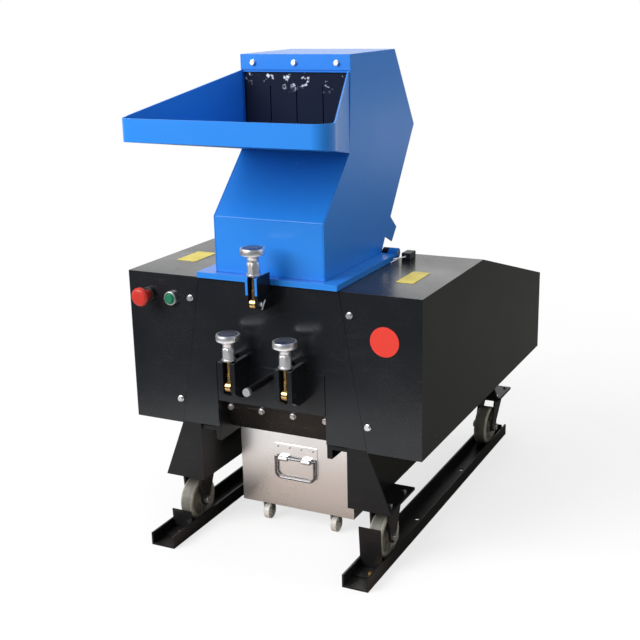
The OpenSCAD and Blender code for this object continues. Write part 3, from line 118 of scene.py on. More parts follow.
def stretched(tree, value, low, high, to_low=0.0, to_high=1.0):
    """Maps a value from one range to another, clamped."""
    node = tree.nodes.new("ShaderNodeMapRange")
    link(tree, value, node.inputs["Value"])
    for name, number in (("From Min", low), ("From Max", high), ("To Min", to_low), ("To Max", to_high)):
        node.inputs[name].default_value = number
    return node.outputs["Result"]


def empty_tree(holder):
    """The node tree of a material or world with only its output left."""
    holder.use_nodes = True
    tree = holder.node_tree
    kept = "OUTPUT_MATERIAL" if isinstance(holder, bpy.types.Material) else "OUTPUT_WORLD"
    for node in list(tree.nodes):
        if node.type != kept:
            tree.nodes.remove(node)
    return tree, next(n for n in tree.nodes if n.type == kept)


bpy.ops.mesh.primitive_plane_add(size=2 * floor_half, location=(0, 0, -floor_drop))
floor = bpy.context.object
floor.name = "floor"
floor_paint = bpy.data.materials.new("pale_floor")
tree, output = empty_tree(floor_paint)
rays = tree.nodes.new("ShaderNodeLightPath")
place = tree.nodes.new("ShaderNodeTexCoord")
reach = tree.nodes.new("ShaderNodeVectorMath")
reach.operation = "LENGTH"
link(tree, place.outputs["Object"], reach.inputs[0])
mirrored = math_node(tree, "MAXIMUM", rays.outputs["Is Glossy Ray"], rays.outputs["Is Transmission Ray"])
white = math_node(tree, "MULTIPLY", rays.outputs["Is Camera Ray"],
                  stretched(tree, reach.outputs["Value"], white_from, white_to, near_white, 1.0))
depth = tree.nodes.new("ShaderNodeSeparateXYZ")
link(tree, place.outputs["Object"], depth.inputs[0])
to_rear = stretched(tree, depth.outputs["Y"], rear_from, rear_to)
glare = math_node(tree, "MULTIPLY", stretched(tree, reach.outputs["Value"], glare_from, glare_to),
                  math_node(tree, "MULTIPLY", mirrored, to_rear))
near_strip = mixed(tree, stretched(tree, reach.outputs["Value"], strip_near, strip_near + edge_blur),
                   floor_warm, bright_strip)
in_mirror = mixed(tree, stretched(tree, reach.outputs["Value"], strip_far, strip_far + edge_blur),
                  near_strip, dark_floor)
in_mirror = mixed(tree, stretched(tree, depth.outputs["Y"], front_from, front_to), side_floor, in_mirror)
unlit = mixed(tree, mirrored, floor_warm, in_mirror)
matt = tree.nodes.new("ShaderNodeBsdfDiffuse")
link(tree, mixed(tree, rays.outputs["Is Camera Ray"], unlit, floor_white), matt.inputs["Color"])
glow = tree.nodes.new("ShaderNodeEmission")
glow.inputs["Color"].default_value = floor_white
fade = tree.nodes.new("ShaderNodeMixShader")
link(tree, math_node(tree, "ADD", white, glare), fade.inputs[0])
link(tree, matt.outputs[0], fade.inputs[1])
link(tree, glow.outputs[0], fade.inputs[2])
link(tree, fade.outputs[0], output.inputs["Surface"])
floor.data.materials.append(floor_paint)

surround = bpy.data.worlds.new("surround")
scene.world = surround
tree, output = empty_tree(surround)
rays = tree.nodes.new("ShaderNodeLightPath")
mirrored = math_node(tree, "MAXIMUM", rays.outputs["Is Glossy Ray"], rays.outputs["Is Transmission Ray"])
toward = tree.nodes.new("ShaderNodeTexCoord")
behind = tree.nodes.new("ShaderNodeVectorMath")
behind.operation = "DOT_PRODUCT"
behind.inputs[1].default_value = window_way
link(tree, toward.outputs["Generated"], behind.inputs[0])
window = stretched(tree, behind.outputs["Value"], window_edge, window_core, window_dim, window_bright)
seen = math_node(tree, "MULTIPLY", mirrored, window)
seen = math_node(tree, "MAXIMUM", rays.outputs["Is Camera Ray"], seen)
sky = tree.nodes.new("ShaderNodeBackground")
sky.inputs["Color"].default_value = floor_white
diffuse_light = math_node(tree, "MULTIPLY", math_node(tree, "SUBTRACT", 1.0, mirrored), fill_light)
link(tree, math_node(tree, "MAXIMUM", seen, diffuse_light), sky.inputs["Strength"])
link(tree, sky.outputs[0], output.inputs["Surface"])


def soft_lamp(name, place, target, size, watts):
    """Puts a square area lamp at a place and turns it to a target."""
    bpy.ops.object.light_add(type="AREA", location=place)
    lamp = bpy.context.object
    lamp.name = name
    lamp.data.size = size
    lamp.data.energy = watts
    lamp.rotation_euler = (Vector(target) - Vector(place)).to_track_quat("-Z", "Y").to_euler()


soft_lamp("key_lamp", place=(-2.0, -3.2, 2.6), target=(0, 0, 0.6), size=2.6, watts=205)
soft_lamp("side_lamp", place=(3.4, 0.9, 1.9), target=(0, 0, 0.6), size=2.2, watts=18)
soft_lamp("top_lamp", place=(0.3, 0.6, 3.6), target=(0, 0, 0.4), size=2.6, watts=30)

film_width, focal_px, picture_px = 36.0, 1117.72, 640
yaw, pitch, roll = (math.radians(angle) for angle in (26.455, 15.951, -1.228))
stand = Vector((1.06635, -1.90416 + FRONT_PLATE_Y, 1.13314))
bpy.ops.object.camera_add()
camera = bpy.context.object
camera.data.sensor_width = film_width
camera.data.lens = film_width * focal_px / picture_px
camera.matrix_world = (Matrix.Translation(stand) @ Matrix.Rotation(yaw, 4, "Z")
                       @ Matrix.Rotation(math.pi / 2 - pitch, 4, "X") @ Matrix.Rotation(roll, 4, "Z"))
scene.camera = camera


# Skids: rolled steel channels on the floor with welded wheel stops, painted black and dusty from the yard.
# The paint here is the group that every coated part of the machine uses. Its waves are counted per metre.
DUST = (0.32, 0.29, 0.25, 1)
cloud_waves, speck_waves, between_specks = 5.5, 340.0, 0.55
smear_waves, smear_stretch, smear_share = 14.0, (1, 1, 3.5), 0.5
thread_waves, thread_stretch = 60.0, (9, 1, 0.6)
rub_pale, rub_haze, dust_haze = 0.22, 0.2, 1.6
gloss_waves, gloss_change = 9.0, 0.12
peel_waves, peel_depth = 420.0, 0.4 * mm
dent_waves, dent_strength, dent_depth = 3.2, 0.16, 4 * mm
merge_gap, flat_angle, crease_angle = 0.02 * mm, 0.4, 34


def new_group(name, numbers, colours, outputs):
    """A shader node group with named inputs and outputs."""
    group = bpy.data.node_groups.new(name, "ShaderNodeTree")
    for sort, inputs in (("Float", numbers), ("Color", colours)):
        for socket, default in inputs.items():
            made = group.interface.new_socket(socket, in_out="INPUT", socket_type="NodeSocket" + sort)
            made.default_value = default
    for socket, sort in outputs.items():
        group.interface.new_socket(socket, in_out="OUTPUT", socket_type="NodeSocket" + sort)
    return group, group.nodes.new("NodeGroupInput"), group.nodes.new("NodeGroupOutput")


def noise(tree, scale, detail=3.0, roughness=0.55, stretch=(1, 1, 1)):
    """Noise in object coordinates. Its scale is a number or a socket, in waves per metre."""
    place = tree.nodes.new("ShaderNodeTexCoord")
    turn = tree.nodes.new("ShaderNodeMapping")
    turn.inputs["Scale"].default_value = stretch
    link(tree, place.outputs["Object"], turn.inputs["Vector"])
    waves = tree.nodes.new("ShaderNodeTexNoise")
    link(tree, turn.outputs[0], waves.inputs["Vector"])
    fed(tree, waves.inputs["Scale"], scale)
    waves.inputs["Detail"].default_value = detail
    waves.inputs["Roughness"].default_value = roughness
    return waves.outputs["Fac"]


def bumped(tree, height, strength, distance, under=None):
    """The normal of a height map, over another normal if there is one."""
    bump = tree.nodes.new("ShaderNodeBump")
    link(tree, height, bump.inputs["Height"])
    bump.inputs["Distance"].default_value = distance
    fed(tree, bump.inputs["Strength"], strength)
    if under:
        link(tree, under, bump.inputs["Normal"])
    return bump.outputs["Normal"]


coating, coat_in, coat_out = new_group(
    "powder_coating",
    {"Roughness": 0.3, "Dust": 0.1, "Peel": 0.1, "Scuffs": 0.1},
    {"Paint": (0.01, 0.01, 0.01, 1), "Dust Colour": DUST},
    {"Colour": "Color", "Roughness": "Float", "Normal": "Vector"})
facing = coating.nodes.new("ShaderNodeNewGeometry")
split = coating.nodes.new("ShaderNodeSeparateXYZ")
link(coating, facing.outputs["Normal"], split.inputs[0])
upward = stretched(coating, split.outputs["Z"], 0.1, 0.95, to_low=0.25)
clouds = stretched(coating, noise(coating, cloud_waves, 6.0, 0.62), 0.38, 0.72)
specks = stretched(coating, noise(coating, speck_waves, 2.0), 0.56, 0.7)
settled = math_node(coating, "MULTIPLY", math_node(coating, "MULTIPLY", upward, clouds),
                    math_node(coating, "ADD", between_specks, specks))
settled = math_node(coating, "MULTIPLY", settled, coat_in.outputs["Dust"])
smear = stretched(coating, noise(coating, smear_waves, 8.0, 0.7, smear_stretch), 0.57, 0.66)
threads = stretched(coating, noise(coating, thread_waves, 3.0, 0.6, thread_stretch), 0.69, 0.72)
rubbed = math_node(coating, "MAXIMUM", math_node(coating, "MULTIPLY", smear, smear_share), threads)
rubbed = math_node(coating, "MULTIPLY", rubbed, coat_in.outputs["Scuffs"])
dusty = mixed(coating, settled, coat_in.outputs["Paint"], coat_in.outputs["Dust Colour"])
pale = math_node(coating, "MULTIPLY", rubbed, rub_pale)
link(coating, mixed(coating, pale, dusty, coat_in.outputs["Dust Colour"]), coat_out.inputs["Colour"])
haze = math_node(coating, "ADD", math_node(coating, "MULTIPLY", settled, dust_haze),
                 math_node(coating, "MULTIPLY", rubbed, rub_haze))
haze = math_node(coating, "ADD", coat_in.outputs["Roughness"], haze)
cloudy = math_node(coating, "SUBTRACT", noise(coating, gloss_waves), 0.5)
cloudy = math_node(coating, "MULTIPLY", cloudy, gloss_change)
link(coating, math_node(coating, "ADD", haze, cloudy), coat_out.inputs["Roughness"])
peel = bumped(coating, noise(coating, peel_waves, 1.5), coat_in.outputs["Peel"], peel_depth)
dents = bumped(coating, noise(coating, dent_waves, 1.0), dent_strength, dent_depth, under=peel)
link(coating, dents, coat_out.inputs["Normal"])


def surface(name, group, values, metallic=0.0, **plain):
    """A material with colour, roughness and normal from a node group, and the rest from plain numbers."""
    material = bpy.data.materials.new(name)
    tree, output = empty_tree(material)
    shader = tree.nodes.new("ShaderNodeBsdfPrincipled")
    finish = tree.nodes.new("ShaderNodeGroup")
    finish.node_tree = group
    for socket, value in values.items():
        finish.inputs[socket].default_value = value
    for source, socket in (("Colour", "Base Color"), ("Roughness", "Roughness"), ("Normal", "Normal")):
        link(tree, finish.outputs[source], shader.inputs[socket])
    shader.inputs["Metallic"].default_value = metallic
    for socket, value in plain.items():
        shader.inputs[socket.replace("_", " ")].default_value = value
    link(tree, shader.outputs[0], output.inputs["Surface"])
    return material


skid_paint = surface("skid_paint", coating,
                     {"Paint": (0.0065, 0.0065, 0.007, 1), "Roughness": 0.42, "Dust": 0.12, "Peel": 0.2,
                      "Scuffs": 0.35}, Specular_IOR_Level=0.25)


def picked(piece):
    """Makes a piece the active object and the only selected one."""
    bpy.ops.object.select_all(action="DESELECT")
    bpy.context.view_layer.objects.active = piece
    piece.select_set(True)


def dressed(node, edge, material, angle=28, steps=2):
    """Copies a CAD node, merges its faces, rounds its edges by the given radius and stands for the node."""
    source = frame["nodes"][node]
    piece = bpy.data.objects.new(node + "_finish", source.data.copy())
    scene.collection.objects.link(piece)
    picked(piece)
    bpy.ops.object.mode_set(mode="EDIT")
    bpy.ops.mesh.select_all(action="SELECT")
    bpy.ops.mesh.remove_doubles(threshold=merge_gap)
    bpy.ops.mesh.dissolve_limited(angle_limit=math.radians(flat_angle))
    bpy.ops.object.mode_set(mode="OBJECT")
    rounding = piece.modifiers.new("rounding", "BEVEL")
    rounding.width = edge
    rounding.segments = steps
    rounding.limit_method = "ANGLE"
    rounding.angle_limit = math.radians(angle)
    rounding.miter_outer = "MITER_ARC"
    bpy.ops.object.modifier_apply(modifier=rounding.name)
    bpy.ops.object.shade_smooth_by_angle(angle=math.radians(crease_angle))
    flatness = piece.modifiers.new("flatness", "WEIGHTED_NORMAL")
    flatness.keep_sharp = True
    bpy.ops.object.modifier_apply(modifier=flatness.name)
    piece.data.materials.clear()
    piece.data.materials.append(material)
    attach(piece, source["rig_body"])
    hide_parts(node)
    return piece


dressed("skids", 1.2 * mm, skid_paint)


# Bolts: zinc-plated hexagon bolts and nuts, bright and slightly cloudy from the plating bath.
# They hold the feet on the skids and the covers on the body. One bolt at the front right is plated yellow.
stain_waves, stain_haze, grain_change, grain_height = 38.0, 0.3, 0.14, 0.3 * mm
metal, metal_in, metal_out = new_group(
    "worn_metal",
    {"Roughness": 0.3, "Grain": 120.0, "Grain Depth": 0.1, "Stains": 0.2},
    {"Metal": (0.6, 0.6, 0.62, 1), "Stain Colour": (0.2, 0.19, 0.17, 1)},
    {"Colour": "Color", "Roughness": "Float", "Normal": "Vector"})
fine = noise(metal, metal_in.outputs["Grain"], 2.0, 0.6)
blotch = stretched(metal, noise(metal, stain_waves, 7.0, 0.68), 0.48, 0.74)
blotch = math_node(metal, "MULTIPLY", blotch, metal_in.outputs["Stains"])
stained = mixed(metal, blotch, metal_in.outputs["Metal"], metal_in.outputs["Stain Colour"])
link(metal, stained, metal_out.inputs["Colour"])
haze = math_node(metal, "MULTIPLY", blotch, stain_haze)
haze = math_node(metal, "ADD", metal_in.outputs["Roughness"], haze)
cloudy = math_node(metal, "MULTIPLY", math_node(metal, "SUBTRACT", fine, 0.5), grain_change)
link(metal, math_node(metal, "ADD", haze, cloudy), metal_out.inputs["Roughness"])
link(metal, bumped(metal, fine, metal_in.outputs["Grain Depth"], grain_height), metal_out.inputs["Normal"])


def second_finish(piece, material, chosen):
    """Gives the faces that a test of centre and normal picks a second material."""
    piece.data.materials.append(material)
    last = len(piece.data.materials) - 1
    for face in piece.data.polygons:
        if chosen(face.center, face.normal):
            face.material_index = last


zinc = surface("bright_zinc", metal, {"Metal": (0.88, 0.89, 0.90, 1), "Roughness": 0.32, "Grain": 700.0,
                                      "Stains": 0.35}, metallic=1.0)
foot_bolts = dressed("foot_bolts", 0.5 * mm, zinc)
brass = surface("brass_plating", metal, {"Metal": (0.72, 0.45, 0.14, 1), "Roughness": 0.3, "Grain": 700.0,
                                         "Stains": 0.4}, metallic=1.0)
skid_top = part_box("skids")[1].z
second_finish(foot_bolts, brass, lambda centre, normal: (
    centre.z < skid_top and centre.x > 0 and centre.y < FRONT_PLATE_Y))
dressed("body_bolts", 0.5 * mm, zinc)


# Casters: forks pressed from steel and painted black, each on a bolted plate and with an axle bolt.
# The wheels are moulded in a dull cream plastic, darker on the middle of the tread and at the hub.
fork_paint = surface("fork_paint", coating,
                     {"Paint": (0.011, 0.011, 0.012, 1), "Roughness": 0.38, "Dust": 0.25, "Peel": 0.15,
                      "Scuffs": 0.6}, Specular_IOR_Level=0.35)
dressed("caster_forks", 0.8 * mm, fork_paint)
dressed("caster_axles", 0.6 * mm, zinc)

grime_waves, grime_haze, mould_height = 24.0, 0.35, 0.4 * mm
plastic, plastic_in, plastic_out = new_group(
    "moulded_plastic",
    {"Roughness": 0.4, "Grime": 0.3, "Grain": 300.0, "Grain Depth": 0.1},
    {"Plastic": (0.6, 0.6, 0.5, 1), "Grime Colour": (0.1, 0.09, 0.07, 1)},
    {"Colour": "Color", "Roughness": "Float", "Normal": "Vector"})
patches = stretched(plastic, noise(plastic, grime_waves, 7.0, 0.66), 0.4, 0.68)
patches = math_node(plastic, "MULTIPLY", patches, plastic_in.outputs["Grime"])
soiled = mixed(plastic, patches, plastic_in.outputs["Plastic"], plastic_in.outputs["Grime Colour"])
link(plastic, soiled, plastic_out.inputs["Colour"])
haze = math_node(plastic, "MULTIPLY", patches, grime_haze)
haze = math_node(plastic, "ADD", plastic_in.outputs["Roughness"], haze)
link(plastic, haze, plastic_out.inputs["Roughness"])
grain = noise(plastic, plastic_in.outputs["Grain"], 2.0)
link(plastic, bumped(plastic, grain, plastic_in.outputs["Grain Depth"], mould_height),
     plastic_out.inputs["Normal"])

cream = surface("cream_wheel", plastic, {"Plastic": (0.40, 0.39, 0.32, 1), "Grime": 0.8, "Roughness": 0.45,
                                         "Grime Colour": (0.12, 0.115, 0.095, 1)})
tread = surface("worn_tread", plastic, {"Plastic": (0.19, 0.185, 0.155, 1), "Grime": 0.8, "Roughness": 0.5,
                                        "Grime Colour": (0.07, 0.068, 0.06, 1)})
tread_half, tread_share, hub_share = 6 * mm, 0.9, 0.4
for corner in ("front_left", "front_right", "rear_left", "rear_right"):
    low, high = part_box(corner + "_wheel")
    middle, radius = (low + high) / 2, (high.z - low.z) / 2
    wheel = dressed(corner + "_wheel", 1.4 * mm, cream, angle=20)
    second_finish(wheel, tread, lambda centre, normal: (
        (centre - middle).yz.length > tread_share * radius and abs(centre.x - middle.x) < tread_half
        or (centre - middle).yz.length < hub_share * radius))


# Base: legs with foot plates, box rails and the motor plate, cut from steel and welded together.
# All of them have the same black coat, smoother and cleaner than on the skids.
frame_paint = surface("frame_paint", coating,
                      {"Paint": (0.0055, 0.0058, 0.0072, 1), "Roughness": 0.34, "Dust": 0.06, "Peel": 0.12,
                       "Scuffs": 0.15}, Specular_IOR_Level=0.25)
for base_piece in ("legs", "side_rails", "motor_plate"):
    dressed(base_piece, 1.0 * mm, frame_paint)


# Body: the front plate, chamber plates, chute and apron around the cutting chamber, cut and bent from
# steel plate and bolted together. The coat is black, and scuffed most on the apron and the chute.
cover_paint = surface("cover_paint", coating,
                      {"Paint": (0.0078, 0.0098, 0.0130, 1), "Roughness": 0.22, "Dust": 0.09, "Peel": 0.07,
                       "Scuffs": 0.1}, Specular_IOR_Level=0.45)
apron_paint = surface("apron_paint", coating,
                      {"Paint": (0.0065, 0.0062, 0.006, 1), "Roughness": 0.26, "Dust": 0.1, "Peel": 0.15,
                       "Scuffs": 0.7}, Specular_IOR_Level=0.3)
dressed("front_fascia", 1.0 * mm, cover_paint)
dressed("chamber_plates", 0.8 * mm, frame_paint)
dressed("chamber_walls", 0.8 * mm, frame_paint)
dressed("discharge_chute", 0.5 * mm, apron_paint)
dressed("front_apron", 0.8 * mm, apron_paint)


# Side covers: sheet steel folded with rounded bends, powder-coated black and fairly glossy.
# They stand beside the chamber, over the drive, and are bolted on.
for side_piece in ("left_cover", "right_cover"):
    dressed(side_piece, 1.3 * mm, cover_paint, steps=3)


# Plain stickers: yellow vinyl on both cover tops and a round red one on the right cover, pressed on by hand.
# The places are measured from the middle of the machine and from the front plate.
yellow_vinyl = surface("yellow_vinyl", plastic, {"Plastic": (0.80, 0.62, 0.02, 1), "Grime": 0.25,
                                                 "Roughness": 0.32, "Grime Colour": (0.35, 0.27, 0.05, 1)})
red_vinyl = surface("red_vinyl", plastic, {"Plastic": (0.72, 0.045, 0.03, 1), "Grime": 0.1,
                                           "Roughness": 0.3, "Grime Colour": (0.4, 0.03, 0.02, 1)})
vinyl_t, vinyl_edge, label_corner = 0.5 * mm, 0.15 * mm, 3 * mm
sign_r, sign_x, sign_z = 30.5 * mm, 257 * mm, 495 * mm


def rounded(half_u, half_v, radius, steps=8):
    """The outline of a rectangle with round corners."""
    outline = []
    for quarter, (su, sv) in enumerate(((1, 1), (-1, 1), (-1, -1), (1, -1))):
        for step in range(steps + 1):
            turn = math.pi / 2 * (quarter + step / steps)
            outline.append(Vector((su * (half_u - radius) + radius * math.cos(turn),
                                   sv * (half_v - radius) + radius * math.sin(turn))))
    return outline


def meshed(name, mesh):
    """A new object with the given mesh, active and selected."""
    bmesh.ops.recalc_face_normals(mesh, faces=mesh.faces)
    data = bpy.data.meshes.new(name)
    mesh.to_mesh(data)
    mesh.free()
    piece = bpy.data.objects.new(name, data)
    scene.collection.objects.link(piece)
    picked(piece)
    return piece


def sticker(name, outline, place, out, material):
    """Lays a thin sheet with an eased edge at a place. Its face looks along the out axis."""
    mesh = bmesh.new()
    up = Vector((0, 1, 0)) if out.z else Vector((0, 0, 1))
    side = up.cross(out)
    base = mesh.faces.new([mesh.verts.new(place + side * point.x + up * point.y) for point in outline])
    raised = bmesh.ops.extrude_face_region(mesh, geom=[base])
    lifted = [part for part in raised["geom"] if isinstance(part, bmesh.types.BMVert)]
    bmesh.ops.translate(mesh, vec=out * vinyl_t, verts=lifted)
    piece = meshed(name, mesh)
    easing = piece.modifiers.new("easing", "BEVEL")
    easing.width = vinyl_edge
    easing.segments = 2
    easing.limit_method = "ANGLE"
    bpy.ops.object.modifier_apply(modifier=easing.name)
    piece.data.materials.append(material)
    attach(piece, "frame")


cover_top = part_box("left_cover")[1].z
for label, from_middle, from_front, half_wide, half_long in (
        ("left_label", -267.5 * mm, 165 * mm, 24.5 * mm, 45 * mm),
        ("right_label", 255 * mm, 156.5 * mm, 19 * mm, 48.5 * mm)):
    sticker(label, rounded(half_wide, half_long, label_corner),
            Vector((from_middle, FRONT_PLATE_Y + from_front, cover_top)), Vector((0, 0, 1)), yellow_vinyl)
sticker("round_sign", rounded(sign_r, sign_r, sign_r, steps=16),
        Vector((sign_x, FRONT_PLATE_Y, sign_z)), Vector((0, -1, 0)), red_vinyl)


# Stop and start buttons in the left cover: a red mushroom and a green cap, moulded in plastic.
# The stop button's collar is black, and the start button's is plated, with a green lens ring.
# The control box behind them is painted pale grey.
red_plastic = surface("red_plastic", plastic, {"Plastic": (0.50, 0.03, 0.022, 1), "Grime": 0.08,
                                               "Roughness": 0.26})
green_plastic = surface("green_plastic", plastic, {"Plastic": (0.008, 0.16, 0.085, 1), "Grime": 0.05,
                                                   "Roughness": 0.26})
lens_out, lens_t, lens_gap = 12.2 * mm, 0.8 * mm, 0.25 * mm
lens_ease_in, lens_ease_out = 0.2 * mm, 0.4 * mm
turned_crease = 30


def turned(name, profile, sides=64, grip=None, bored=False):
    """A turned mesh around the upright axis, bored through if its profile closes on itself.

    A grip presses some rings to a polygon: the first and last ring, the flats, and their depth as a share.
    """
    mesh = bmesh.new()
    first, last, flats, depth = grip or (1, 0, 1, 1)
    flat = 2 * math.pi / flats
    rings = []
    for index, (radius, height) in enumerate(profile):
        ring = []
        for step in range(sides):
            turn = 2 * math.pi * step / sides
            reach = radius
            if first <= index <= last:
                reach = min(radius, radius * depth / math.cos((turn % flat) - flat / 2))
            ring.append(mesh.verts.new((reach * math.cos(turn), reach * math.sin(turn), height)))
        rings.append(ring)
    for low_ring, high_ring in zip(rings, rings[1:] + rings[:1] if bored else rings[1:]):
        for step in range(sides):
            mesh.faces.new((low_ring[step], low_ring[(step + 1) % sides],
                            high_ring[(step + 1) % sides], high_ring[step]))
    if not bored:
        mesh.faces.new(rings[0][::-1])
        mesh.faces.new(rings[-1])
    piece = meshed(name, mesh)
    bpy.ops.object.shade_smooth_by_angle(angle=math.radians(turned_crease))
    return piece


def standing(piece, place, material, body):
    """Moves a piece's mesh to its place, gives it its finish and lets it ride on a body."""
    piece.data.transform(Matrix.Translation(place))
    piece.data.materials.append(material)
    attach(piece, body)


collars = dressed("control_bezels", 0.9 * mm, zinc)
collar_black = surface("collar_black", plastic, {"Plastic": (0.012, 0.012, 0.014, 1), "Grime": 0.2,
                                                 "Roughness": 0.35})
between_buttons = (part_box("estop_button")[1].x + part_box("start_button")[0].x) / 2
second_finish(collars, collar_black, lambda centre, normal: centre.x < between_buttons)
dressed("estop_button", 0.6 * mm, red_plastic, angle=24)
dressed("start_button", 0.5 * mm, green_plastic, angle=24)
low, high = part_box("start_button")
lens_in = (high.x - low.x) / 2 + lens_gap
lens = turned("start_lens", [(lens_in, 0), (lens_in, lens_t - lens_ease_in), (lens_in + lens_ease_in, lens_t),
                             (lens_out - lens_ease_out, lens_t), (lens_out, lens_t - lens_ease_out),
                             (lens_out, 0)], bored=True)
lens.data.transform(Matrix.Rotation(math.pi / 2, 4, "X"))
lens_place = Vector(((low.x + high.x) / 2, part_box("control_bezels")[0].y, (low.z + high.z) / 2))
standing(lens, lens_place, green_plastic, "frame")
box_paint = surface("box_paint", coating, {"Paint": (0.5, 0.51, 0.53, 1), "Roughness": 0.4})
dressed("control_box", 1.5 * mm, box_paint)


# Drive: motor, bearings, rotor, knives, flywheel, pulleys and belts, on the motor plate and on the chamber.
# The motor's cast housing is painted blue. The other steel is oiled and dark, the knives and screen bright.
motor_paint = surface("motor_paint", coating, {"Paint": (0.025, 0.11, 0.27, 1), "Roughness": 0.36,
                                               "Dust": 0.4, "Peel": 0.3})
oiled_steel = surface("oiled_steel", metal, {"Metal": (0.16, 0.16, 0.17, 1), "Roughness": 0.38,
                                             "Grain": 260.0, "Stains": 0.6}, metallic=1.0)
ground_steel = surface("ground_steel", metal, {"Metal": (0.48, 0.48, 0.5, 1), "Roughness": 0.28,
                                               "Grain": 500.0, "Stains": 0.3}, metallic=1.0)
rubber = surface("black_rubber", plastic,
                 {"Plastic": (0.012, 0.012, 0.013, 1), "Grime": 0.35, "Roughness": 0.55,
                  "Grime Colour": (0.07, 0.068, 0.065, 1), "Grain": 600.0, "Grain Depth": 0.3})


def painted(node, material):
    """Gives a CAD node, kept as it is, its finish."""
    shown = frame["nodes"][node]
    shown.data.materials.clear()
    shown.data.materials.append(material)


dressed("motor_body", 0.6 * mm, motor_paint)
for dark_piece in ("bearing_housings", "rotor", "flywheel", "rotor_pulley", "motor_pulley"):
    painted(dark_piece, oiled_steel)
for bright_piece in ("bed_knives", "rotor_knives", "screen"):
    painted(bright_piece, ground_steel)
painted("drive_belts", rubber)


# Hopper: blue powder-coated sheet, welded, with the feed tray, the bolted beam and the hinge flange.
# The latch ears have painted shade: black on their side faces. A dark rubber curtain hangs under the beam,
# with painted white glints along its top.
hopper_paint = surface("hopper_paint", coating,
                       {"Paint": (0.018, 0.21, 0.70, 1), "Roughness": 0.25, "Dust": 0.02, "Peel": 0.1,
                        "Scuffs": 0.06, "Dust Colour": (0.5, 0.6, 0.75, 1)}, Specular_IOR_Level=0.42)
for blue_piece in ("hopper_sides", "hopper_front", "hopper_back", "hopper_head", "feed_tray"):
    dressed(blue_piece, 0.9 * mm, hopper_paint)
dressed("hopper_flange", 1.3 * mm, hopper_paint)
ears = dressed("top_latch_ears", 1.0 * mm, hopper_paint)
# Painted shade: the ears' side faces, chosen by their normal, get the black cover paint instead of blue.
second_finish(ears, cover_paint, lambda centre, normal: abs(normal.x) > 0.5)
dressed("beam_screws", 0.5 * mm, zinc)
curtain_rubber = surface("curtain_rubber", plastic,
                         {"Plastic": (0.005, 0.0085, 0.022, 1), "Grime": 0.06, "Roughness": 0.5,
                          "Grime Colour": (0.02, 0.025, 0.04, 1), "Grain": 14.0, "Grain Depth": 0.9},
                         Specular_IOR_Level=0.08)
# Painted highlight: white glints near the curtain's top, mixed into its base colour through a noise mask.
glint_waves, glint_white = 34.0, (0.75, 0.78, 0.82, 1)
glints_end, glints_full = 42 * mm, 20 * mm
tree = curtain_rubber.node_tree
shader = next(n for n in tree.nodes if n.type == "BSDF_PRINCIPLED")
finish_colour = next(n for n in tree.nodes if n.type == "GROUP").outputs["Colour"]
spot = tree.nodes.new("ShaderNodeSeparateXYZ")
link(tree, tree.nodes.new("ShaderNodeTexCoord").outputs["Object"], spot.inputs[0])
curtain_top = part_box("splash_curtain")[1].z
near_beam = stretched(tree, spot.outputs["Z"], curtain_top - glints_end, curtain_top - glints_full)
glints = stretched(tree, noise(tree, glint_waves, 5.0, 0.7), 0.60, 0.64)
link(tree, mixed(tree, math_node(tree, "MULTIPLY", near_beam, glints), finish_colour, glint_white),
     shader.inputs["Base Color"])
dressed("splash_curtain", 0.8 * mm, curtain_rubber)


# Latches: swing bolts with yellow zinc plating, which tilt into slotted ears on the hopper and the cradle.
# The knobs are turned from aluminium, with a flange, a grip with six flats, a hollow taper and a dark cap.
yellow_zinc = surface("yellow_zinc", metal,
                      {"Metal": (0.66, 0.43, 0.17, 1), "Roughness": 0.26, "Grain": 500.0, "Stains": 0.4,
                       "Stain Colour": (0.3, 0.13, 0.06, 1)}, metallic=1.0)
aluminium = surface("turned_aluminium", metal, {"Metal": (0.92, 0.92, 0.93, 1), "Roughness": 0.38,
                                                "Grain": 260.0, "Stains": 0.12}, metallic=1.0)
cap_navy = surface("cap_navy", plastic, {"Plastic": (0.012, 0.022, 0.06, 1), "Grime": 0.1, "Roughness": 0.22})
flange_r, flange_t, flange_ease, under_flange = 14.6 * mm, 4 * mm, 0.8 * mm, 0.02 * mm
grip_r, waist_r, dome_r, bore_r = 13.4 * mm, 11.4 * mm, 20.5 * mm, 5.2 * mm
grip_rings, grip_flats, grip_depth = (5, 7), 6, 0.93
grip_full, grip_end, neck_from, waist_from, waist_to = 0.32, 0.44, 0.47, 0.49, 0.53
taper_rise, taper_steps, taper_edge = 0.2, (0.15, 0.3, 0.45, 0.6, 0.75, 0.9), 1.5 * mm
rim_under, rim_from, rim_to, rim_eased, face_outer, face_inner = 0.745, 0.765, 0.94, 0.96, 0.972, 0.974
cap_seat, cap_side = 0.95, 0.972
cap_dome = ((0.7, 0.994), (0.3, 0.999))
